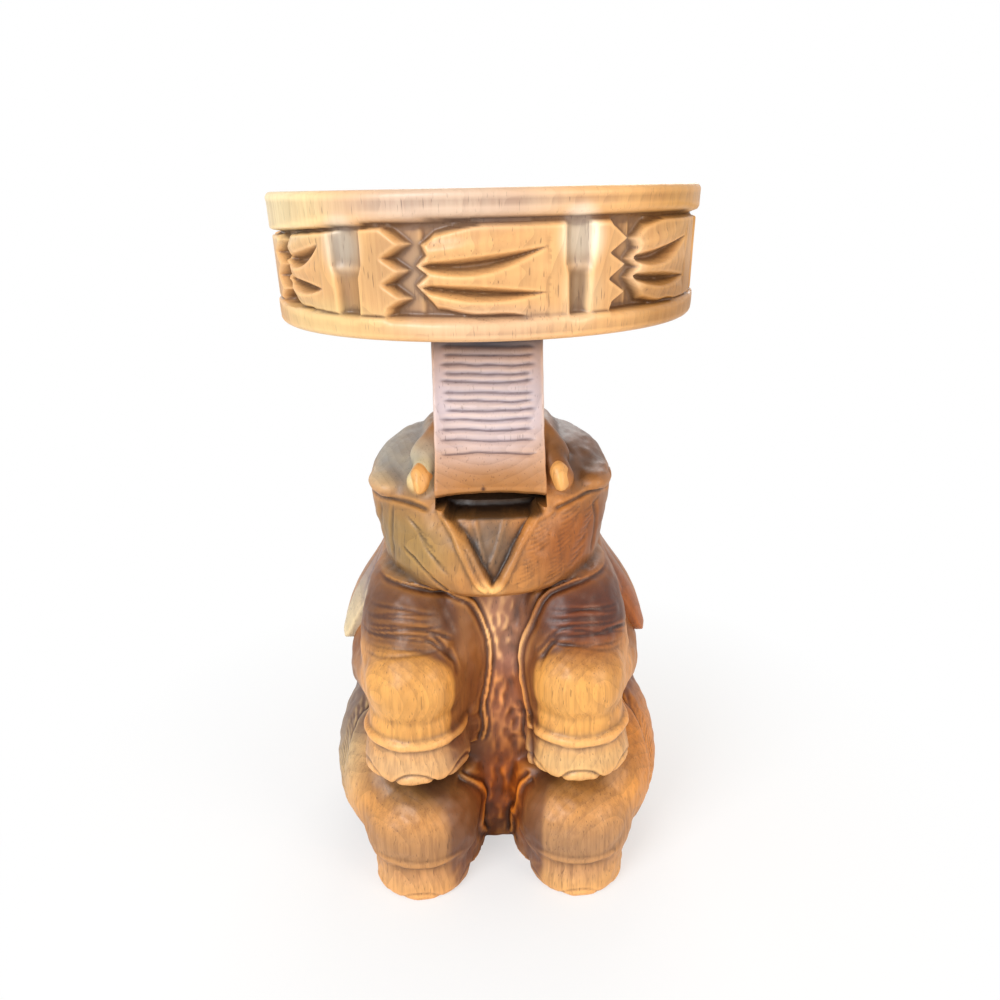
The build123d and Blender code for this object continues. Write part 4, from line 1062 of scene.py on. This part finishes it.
# %% Lips, folds and creases of the head
face = (skin[:, 1] < 0.3) & (places[:, 1] < -10) & (places[:, 2] > 243)
for bead in ([(-37, 303), (-28, 290), (-20, 274), (-14, 258), (-9, 249), (-3, 246)],
             [(37, 302), (26, 290), (17, 274), (10, 260), (4, 249), (-3, 246)]):
    stroke(places, lift, "front", bead, 3.0, -2.5, 0.05, face)
for fold in ([(-12, 297), (-9, 280), (-4, 259)], [(10, 297), (4, 276), (-3, 259)],
             [(-22, 292), (-14, 272), (-6, 256)]):
    stroke(places, lift, "front", fold, 1.8, -1.2, 0.2, face)
BROW_CREASES = ([(-92, 296), (-72, 301), (-56, 302), (-42, 299)],
                [(92, 297), (74, 303), (60, 301), (42, 298)])
for crease in BROW_CREASES:
    stroke(places, lift, "front", crease, 2.6, 2.0, 0.12, face)
CHEEK_CREASES = ([(-69, 299), (-73, 276), (-71, 250)], [(73, 298), (77, 280), (72, 252)],
                 [(-80, 296), (-82, 276), (-79, 256)])
for crease in CHEEK_CREASES:
    stroke(places, lift, "front", crease, 2.4, 1.5, 0.2, face)
print("creases", len(BROW_CREASES) + len(CHEEK_CREASES))

# %% Cheek hair and eyes
hair = np.random.default_rng(5)
HAIR_PATCHES = (
    # first and last root of a patch, how the hair runs from its root, number of strokes
    ((-60, 295), (-42, 268), (14, -10), 9), ((-64, 272), (-34, 246), (13, -9), 11),
    ((28, 290), (13, 251), (21, 9), 13), ((47, 293), (32, 247), (19, 8), 14),
    ((65, 290), (50, 254), (14, 6), 10))
for first, last, run, count in HAIR_PATCHES:
    for share in np.linspace(0, 1, count):
        x0 = first[0] + (last[0] - first[0]) * share + hair.normal(0, 0.6)
        z0 = first[1] + (last[1] - first[1]) * share + hair.normal(0, 0.25)
        end = (x0 + run[0], z0 + run[1] + hair.normal(0, 0.8))
        bend = ((x0 + end[0]) / 2, (z0 + end[1]) / 2 - 2)
        stroke(places, lift, "front", [(x0, z0), bend, end], 1.7, 0.65, 0.3, face)
EYE = (-46, 307)
cheeks = np.abs(places[:, 0]) > 60
for ring_size, width, deep_cut in ((8.0, 1.8, 1.4), (3.6, 1.4, 1.0)):
    loop = [(EYE[0] + ring_size * 1.5 * cos(a), EYE[1] + ring_size * 0.75 * sin(a))
            for a in np.linspace(0, 2 * pi, 17)]
    stroke(places, lift, "side", loop, width, deep_cut, 0, cheeks)
put_points(figure.data, places + skin * lift[:, None])
put_points(figure.data, relax(figure.data, points(figure.data), 1, 0.3))
store_hollows(figure.data)
swell = uneven(places, 0.34, 19, 21) + uneven(places, 0.14, 9, 22)
places = points(figure.data) + outward(figure.data) * swell[:, None]
places[:, 2] = np.maximum(places[:, 2], 0)
put_points(figure.data, places)
print("deepest cut", round(float(-lift.min()), 2), "mm")

# %% [markdown]
# ## Trunk
#
# The raised trunk is a flat fronted block, drawn as a side view and pushed out to its width.
# Its front swells to a rounded lip over the mouth, and its rear edges are bevelled. The rows
# of wrinkles are cut by hand right across it, so each one wavers and none has the same depth.

# %% Trunk block-out
TRUNK_HALF = 38.5
TRUNK_FRONT = ((422, -62), (398, -63), (372, -67), (350, -73), (338, -79), (328, -86),
               (320, -92.5), (314, -96.5), (310, -96.5), (307, -93), (305.5, -87), (305, -70),
               (300, -64))
TRUNK_BACK = ((300, 50), (335, 49), (360, 45.5), (390, 42), (422, 40))
REAR_BEVEL = 11
bm = bmesh.new()
outline = [bm.verts.new((-TRUNK_HALF * MM, y * MM, z * MM))
           for z, y in TRUNK_FRONT + TRUNK_BACK]
pushed = bmesh.ops.extrude_face_region(bm, geom=[bm.faces.new(outline)])
moved = [item for item in pushed["geom"] if isinstance(item, bmesh.types.BMVert)]
bmesh.ops.translate(bm, verts=moved, vec=(2 * TRUNK_HALF * MM, 0, 0))
rear = [edge for edge in bm.edges if abs(edge.verts[0].co.x - edge.verts[1].co.x) < 1e-6
        and min(vert.co.y for vert in edge.verts) > 0.035
        and abs(edge.verts[0].co.z - edge.verts[1].co.z) > 1e-3]
bmesh.ops.bevel(bm, geom=rear, offset=REAR_BEVEL * MM, offset_type="OFFSET", affect="EDGES",
                segments=4, profile=0.5, material=-1)
trunk = new_object("trunk_carving", bm)
grow_skin(trunk, 1.0)
places = relax(trunk.data, points(trunk.data), 3, 0.5)
# the underside of the lip arches a little
arch = 3.0 * (1 - (places[:, 0] / TRUNK_HALF) ** 2) * ease((317 - places[:, 2]) / 9)
places[:, 2] += np.where(places[:, 1] < -68, arch, 0)
put_points(trunk.data, places)
skin = outward(trunk.data)
lift = np.zeros(len(places))
front_skin = skin[:, 1] < -0.3
WRINKLES = (416.5, 412, 405.5, 399.3, 393.2, 387.1, 381.6, 374.1, 368.6, 362.4, 356.4, 349.8,
            343.1, 334.9)
hand = np.random.default_rng(3)
for z in WRINKLES:
    left, right = -36 + hand.uniform(-1, 4), 35 + hand.uniform(-4, 1)
    path = [(x_at, z + 0.9 * sin(x_at * 0.08 + z) + hand.normal(0, 0.35))
            for x_at in np.linspace(left, right, 9)]
    stroke(places, lift, "front", path, 3.4, hand.uniform(0.9, 1.5), 0.12, front_skin)
    stroke(places, lift, "front", path, 1.3, hand.uniform(0.6, 1.1), 0.12, front_skin)
put_points(trunk.data, places + skin * lift[:, None])
store_hollows(trunk.data)
swell = uneven(places, 0.16, 16, 31) * (np.abs(places[:, 2] - 361) < 55)
put_points(trunk.data, points(trunk.data) + outward(trunk.data) * swell[:, None])
trunk.data.shade_smooth()
print("trunk wrinkles", len(WRINKLES))

# %% [markdown]
# ## Ears
#
# Each ear is a fan that falls from behind the cheek over the shoulder and lies against the
# body. A flat grid is bent in code into a fan, then laid on an upright curved face that
# leans out as it comes down, and thickened. Its outer rim has scallops, and a groove runs in
# from each notch between them.

# %% Ear shape
EAR_FACE = ((300, 79), (285, 80), (268, 81), (252, 84), (240, 88), (230, 93.5), (220, 100.5),
            (210, 107.5), (200, 113.5), (188, 119), (174, 123.5), (160, 126.5), (146, 128))
EAR_WRAP = 112
EAR_WRAP_MIDDLE = 4


def ear_face(y, z):
    """Outer face of the ear from the middle plane: it leans out and wraps round the body."""
    levels = [row[0] for row in EAR_FACE][::-1]
    faces = [row[1] for row in EAR_FACE][::-1]
    share = np.clip((y - EAR_WRAP_MIDDLE) / EAR_WRAP, -0.95, 0.95)
    return np.interp(z, levels, faces) * np.sqrt(1 - share ** 2) + 3.0 * ease(-y / 34)


EAR_ROOT = (8, 276)
EAR_THICK = 11
FAN_STEPS = 150
FAN_ROWS = 50
SCALLOPS = 9
# direction from the root (degrees, 0 is to the back, -90 is down) and how far the rim is
EAR_RIM = ((-172, 34), (-154, 54), (-138, 72), (-124, 95), (-112, 112), (-98, 126), (-80, 127),
           (-58, 116), (-36, 100), (-14, 84), (8, 68), (28, 48), (44, 28))


def ear_object(name, side):
    bm = bmesh.new()
    bmesh.ops.create_grid(bm, x_segments=FAN_STEPS, y_segments=FAN_ROWS, size=0.5)
    spots = np.array([vert.co for vert in bm.verts])
    share = spots[:, 0] + 0.5
    outwards = 0.5 - spots[:, 1]
    turn_at = EAR_RIM[0][0] + share * (EAR_RIM[-1][0] - EAR_RIM[0][0])
    reach = np.interp(turn_at, [row[0] for row in EAR_RIM], [row[1] for row in EAR_RIM])
    wave = np.abs(np.sin(pi * SCALLOPS * share))
    reach = reach * (1 + 0.085 * (wave ** 0.7 - 1) * ease(outwards * 2 - 0.7))
    distance = 3 + (reach - 3) * outwards
    y = EAR_ROOT[0] + distance * np.cos(np.radians(turn_at))
    z = EAR_ROOT[1] + distance * np.sin(np.radians(turn_at))
    groove = (1 - wave) ** 2.2 * ease(outwards * 1.5 - 0.2)
    x = ear_face(y, z) - 2.4 * groove - 1.6 * ease(1 - (1 - outwards) / 0.07)
    for vert, a, b, c in zip(bm.verts, x, y, z):
        vert.co = (side * a * MM, b * MM, c * MM)
    thick = bmesh.ops.extrude_face_region(bm, geom=bm.faces[:])
    inner = [item for item in thick["geom"] if isinstance(item, bmesh.types.BMVert)]
    bmesh.ops.translate(bm, verts=inner, vec=(-side * EAR_THICK * MM, 0, 0))
    return new_object(name, bm)


for side, word in ((-1, "left"), (1, "right")):
    ear = ear_object(f"ear_fan_{word}", side)
    grow_skin(ear, 1.2)
    put_points(ear.data, relax(ear.data, points(ear.data), 2, 0.5))
    store_hollows(ear.data)
    # left ear: a painted cool reflection; right ear: darker and redder
    cool = (0.95, 1.8, 5.0) if side < 0 else (0.45, 0.24, 0.08)
    tint_and_paint_light(ear.data, [((side * 106, -36, 190), (44, 40, 66), cool, 0.9)])
    ear.data.shade_smooth()
    finish_piece(ear, "ear", "ear_wood", f"ear_{word}")

# %% [markdown]
# ## Tusks
#
# Only a short stub of each tusk stands out of its fold of skin. It is a ball, drawn out to a
# leaf with three soft ridges, and it leans forwards.

# %% Tusks
for side, word in ((-1, "left"), (1, "right")):
    bm = bmesh.new()
    bmesh.ops.create_uvsphere(bm, u_segments=40, v_segments=24, radius=1)
    for vert in bm.verts:
        turn = atan2(vert.co.y, vert.co.x)
        slim = (1 - 0.38 * abs(vert.co.z) ** 1.4) * (1 + 0.09 * cos(3 * turn + 0.6))
        vert.co.x *= slim
        vert.co.y *= slim
    size = Matrix.Diagonal((8.6 * MM, 9.6 * MM, 14 * MM, 1))
    lean = Matrix.Rotation(radians(side * 8), 4, "Z") @ Matrix.Rotation(radians(126), 4, "X")
    bm.transform(at(side * 48, -81, 318.5) @ lean @ size)
    tusk = new_object(f"tusk_carved_{word}", bm)
    tusk.data.shade_smooth()
    for layer in ("hollow", "edge"):
        store(tusk.data, layer, np.zeros(len(tusk.data.vertices)))
    tint_and_paint_light(tusk.data, [])
    finish_piece(tusk, "tusk", "tusk_wood", f"tusk_{word}")
    print(tusk.name, len(tusk.data.polygons), "faces")

# %% [markdown]
# ## Tints, painted light and saw
#
# Now the body and the head get their tints and their painted light, and are sawn into the parts
# of the frame.

# %% Tint the body and head, and paint their light
tint_and_paint_light(figure.data, [
    # painted cool sheen on the upper belly
    ((8, -92, 210), (20, 26, 40), (2.0, 2.9, 6.0), 0.9),
    # lighter middle belly: partly lighter wood, partly a painted sheen
    ((8, -84, 140), (20, 26, 40), (2.0, 2.0, 2.9), 0.8),
    # more orange low on the belly
    ((6, -84, 60), (26, 30, 44), (1.5, 0.96, 0.22), 0.85),
    # darker shoulders, redder on the right
    ((-64, -100, 220), (54, 60, 31), (0.42, 0.38, 0.34), 0.95),
    ((68, -100, 218), (54, 60, 33), (0.26, 0.12, 0.06), 0.97),
    # painted reflection greys the top of the head, lighter and cooler on the left
    ((-60, -30, 326), (66, 110, 20), (1.42, 2.9, 7.0), 0.9),
    ((60, -30, 326), (66, 110, 20), (0.50, 0.46, 0.52), 0.9),
    # painted shade on the sunk tongue
    ((0, -106, 276), (19, 22, 25), (0.42, 0.56, 1.1), 1.0),
    # painted highlight on the tip of the lower lip
    ((-3, -120, 249), (11, 14, 7), (1.8, 2.3, 3.0), 0.9),
    # redder cheek on the right, olive cheek on the left
    ((60, -84, 272), (50, 60, 30), (0.62, 0.38, 0.05), 0.9),
    ((-60, -84, 272), (50, 60, 30), (0.70, 1.02, 1.15), 0.8),
    # painted shadow under the raised forefeet
    ((-60, -100, 88), (46, 50, 20), (0.20, 0.24, 0.42), 0.9),
    ((60, -100, 89), (46, 50, 19), (0.32, 0.32, 0.38), 0.9),
    # painted sheen on the knees
    ((-60, -126, 166), (42, 40, 44), (0.95, 1.1, 1.34), 0.8),
    ((60, -126, 166), (42, 40, 44), (0.96, 1.12, 1.38), 0.8),
    # paler tusk folds
    ((-48, -84, 316), (14, 20, 16), (1.5, 1.45, 1.0), 0.8),
    ((48, -84, 316), (14, 20, 16), (1.4, 1.2, 0.7), 0.8),
    # painted cool reflections on the forefeet
    ((-60, -118, 116), (50, 46, 15), (0.88, 1.2, 2.6), 0.9),
    ((60, -118, 116), (50, 46, 15), (0.92, 1.3, 2.6), 0.9),
    # painted shade on the hind knees under the forefeet, greyed by a painted cool reflection
    ((-60, -118, 46), (54, 50, 30), (0.50, 0.60, 1.25), 0.9),
    ((60, -118, 46), (54, 50, 30), (0.50, 0.64, 1.5), 0.9),
    # painted cool reflection on the left hind foot
    ((-60, -118, 10), (54, 50, 18), (0.98, 1.2, 2.2), 0.8),
    # painted highlight on the ankle beads of the forelegs
    ((-60, -130, 134), (46, 44, 8), (1.0, 1.15, 1.7), 0.8),
    ((60, -130, 134), (46, 44, 8), (1.0, 1.15, 1.7), 0.8),
    # painted cool reflection on the right hind foot
    ((60, -118, 10), (54, 50, 18), (0.98, 1.25, 2.3), 0.8),
    # warmer and darker right flank
    ((118, -40, 90), (40, 70, 60), (0.84, 0.66, 0.30), 0.8),
    # painted cool reflection on the left flank
    ((-118, -40, 90), (40, 70, 60), (0.66, 1.2, 3.2), 0.8),
], [
    # shifts of the line between heartwood and sapwood
    ((0, -100, 222), (130, 60, 30), 0.5),
    ((0, -60, 150), (32, 60, 140), 0.8),
    ((0, -112, 50), (32, 60, 60), 0.8),
    ((0, -112, 150), (27, 50, 60), 0.7),
    ((-62, -122, 168), (36, 34, 37), -0.6),
    ((62, -122, 168), (36, 34, 37), -0.6),
    ((0, 0, 330), (100, 100, 26), 0.6),
    ((0, -110, 275), (70, 40, 30), -0.35),
# painted shade in the mouth slot
], mouth_shade)
tint_and_paint_light(trunk.data, [
    # painted cool reflection on the middle of the trunk's front
    ((0, -66, 364), (60, 24, 48), (1.08, 1.56, 2.5), 0.9),
    # painted shadow of the seat on the top of the trunk
    ((0, -62, 415), (60, 40, 15), (0.04, 0.08, 0.17), 0.97),
    # more orange at the lip
    ((0, -94, 311), (60, 24, 17), (0.72, 0.54, 0.26), 1.0),
    # painted shade under the rolled lip
    ((0, -92, 306), (60, 24, 5), (0.5, 0.42, 0.36), 1.0),
    # a small dark knot
    ((-5, -97, 314), (1.7, 6, 1.7), (0.2, 0.14, 0.10), 1.0),
])
print("body, head and trunk stained")

# %% Saw the body
FRONT, BACK = (0, -1, 0), (0, 1, 0)
UP, DOWN = (0, 0, 1), (0, 0, -1)
RIGHT, LEFT = (1, 0, 0), (-1, 0, 0)
GLUE = (0, -72, 0)
LEFT_EDGE = (-12, 0, 0)
RIGHT_EDGE = (18, 0, 0)
BETWEEN_FEET = (0, 0, 96)
neck = ((0, 0, NECK), UP)
for word, half in (("left", RIGHT), ("right", LEFT)):
    back = saw(figure, f"torso_carved_{word}", [neck, (GLUE, FRONT), ((0, 0, 0), half)])
    finish_piece(back, "body", "body_wood", "torso")
belly = saw(figure, "belly_carved",
            [neck, (GLUE, BACK), (LEFT_EDGE, LEFT), (RIGHT_EDGE, RIGHT)])
finish_piece(belly, "belly", "belly_wood", "belly_strip")
for word, cut in (("left", (LEFT_EDGE, RIGHT)), ("right", (RIGHT_EDGE, LEFT))):
    leg = saw(figure, f"foreleg_carved_{word}", [neck, (GLUE, BACK), cut, (BETWEEN_FEET, DOWN)])
    finish_piece(leg, "leg", "leg_wood", f"foreleg_{word}")
    leg = saw(figure, f"hind_leg_carved_{word}", [(GLUE, BACK), cut, (BETWEEN_FEET, UP)])
    finish_piece(leg, "leg", "leg_wood", f"hind_leg_{word}")

# %% Saw the head and trunk
# the trunk block stops a hair short of the seat and of the brow line
TRIM = 0.1
above_brow = ((0, 0, BROW), DOWN)
trunk_left = (-TRUNK_HALF, 0, 0)
trunk_right = (TRUNK_HALF, 0, 0)
jaw = saw(figure, "jaw_carved", [((0, 0, NECK), DOWN), ((0, 0, BROW), UP)])
finish_piece(jaw, "head", "head_wood", "jaw")
for word, cut in (("left", (trunk_left, RIGHT)), ("right", (trunk_right, LEFT))):
    brow = saw(figure, f"brow_carved_{word}", [above_brow, cut])
    finish_piece(brow, "head", "head_wood", f"brow_{word}")
raised = saw(trunk, "trunk_carved_block", [((0, 0, SEAT_LOW - TRIM), UP),
                                           ((0, 0, BROW + TRIM), DOWN)])
finish_piece(raised, "trunk", "trunk_wood", "trunk")
root = saw(figure, "trunk_root", [above_brow, (trunk_left, LEFT), (trunk_right, RIGHT),
                                  ((0, 0, 0), FRONT)])
finish_piece(root, "head", "trunk_wood", "trunk")
for blank in (figure, trunk):
    bpy.data.objects.remove(blank)

# %% [markdown]
# ## Dowels
#
# The dowels lie hidden in the joints. They keep their measured shape and get a plain pale
# wood.

# %% Dowels
for name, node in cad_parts.items():
    if name.endswith("_dowels"):
        node.data.materials.clear()
        node.data.materials.append(WOOD["dowel"])
        print("dowel finish on", name)

# %% The end
bpy.context.view_layer.update()
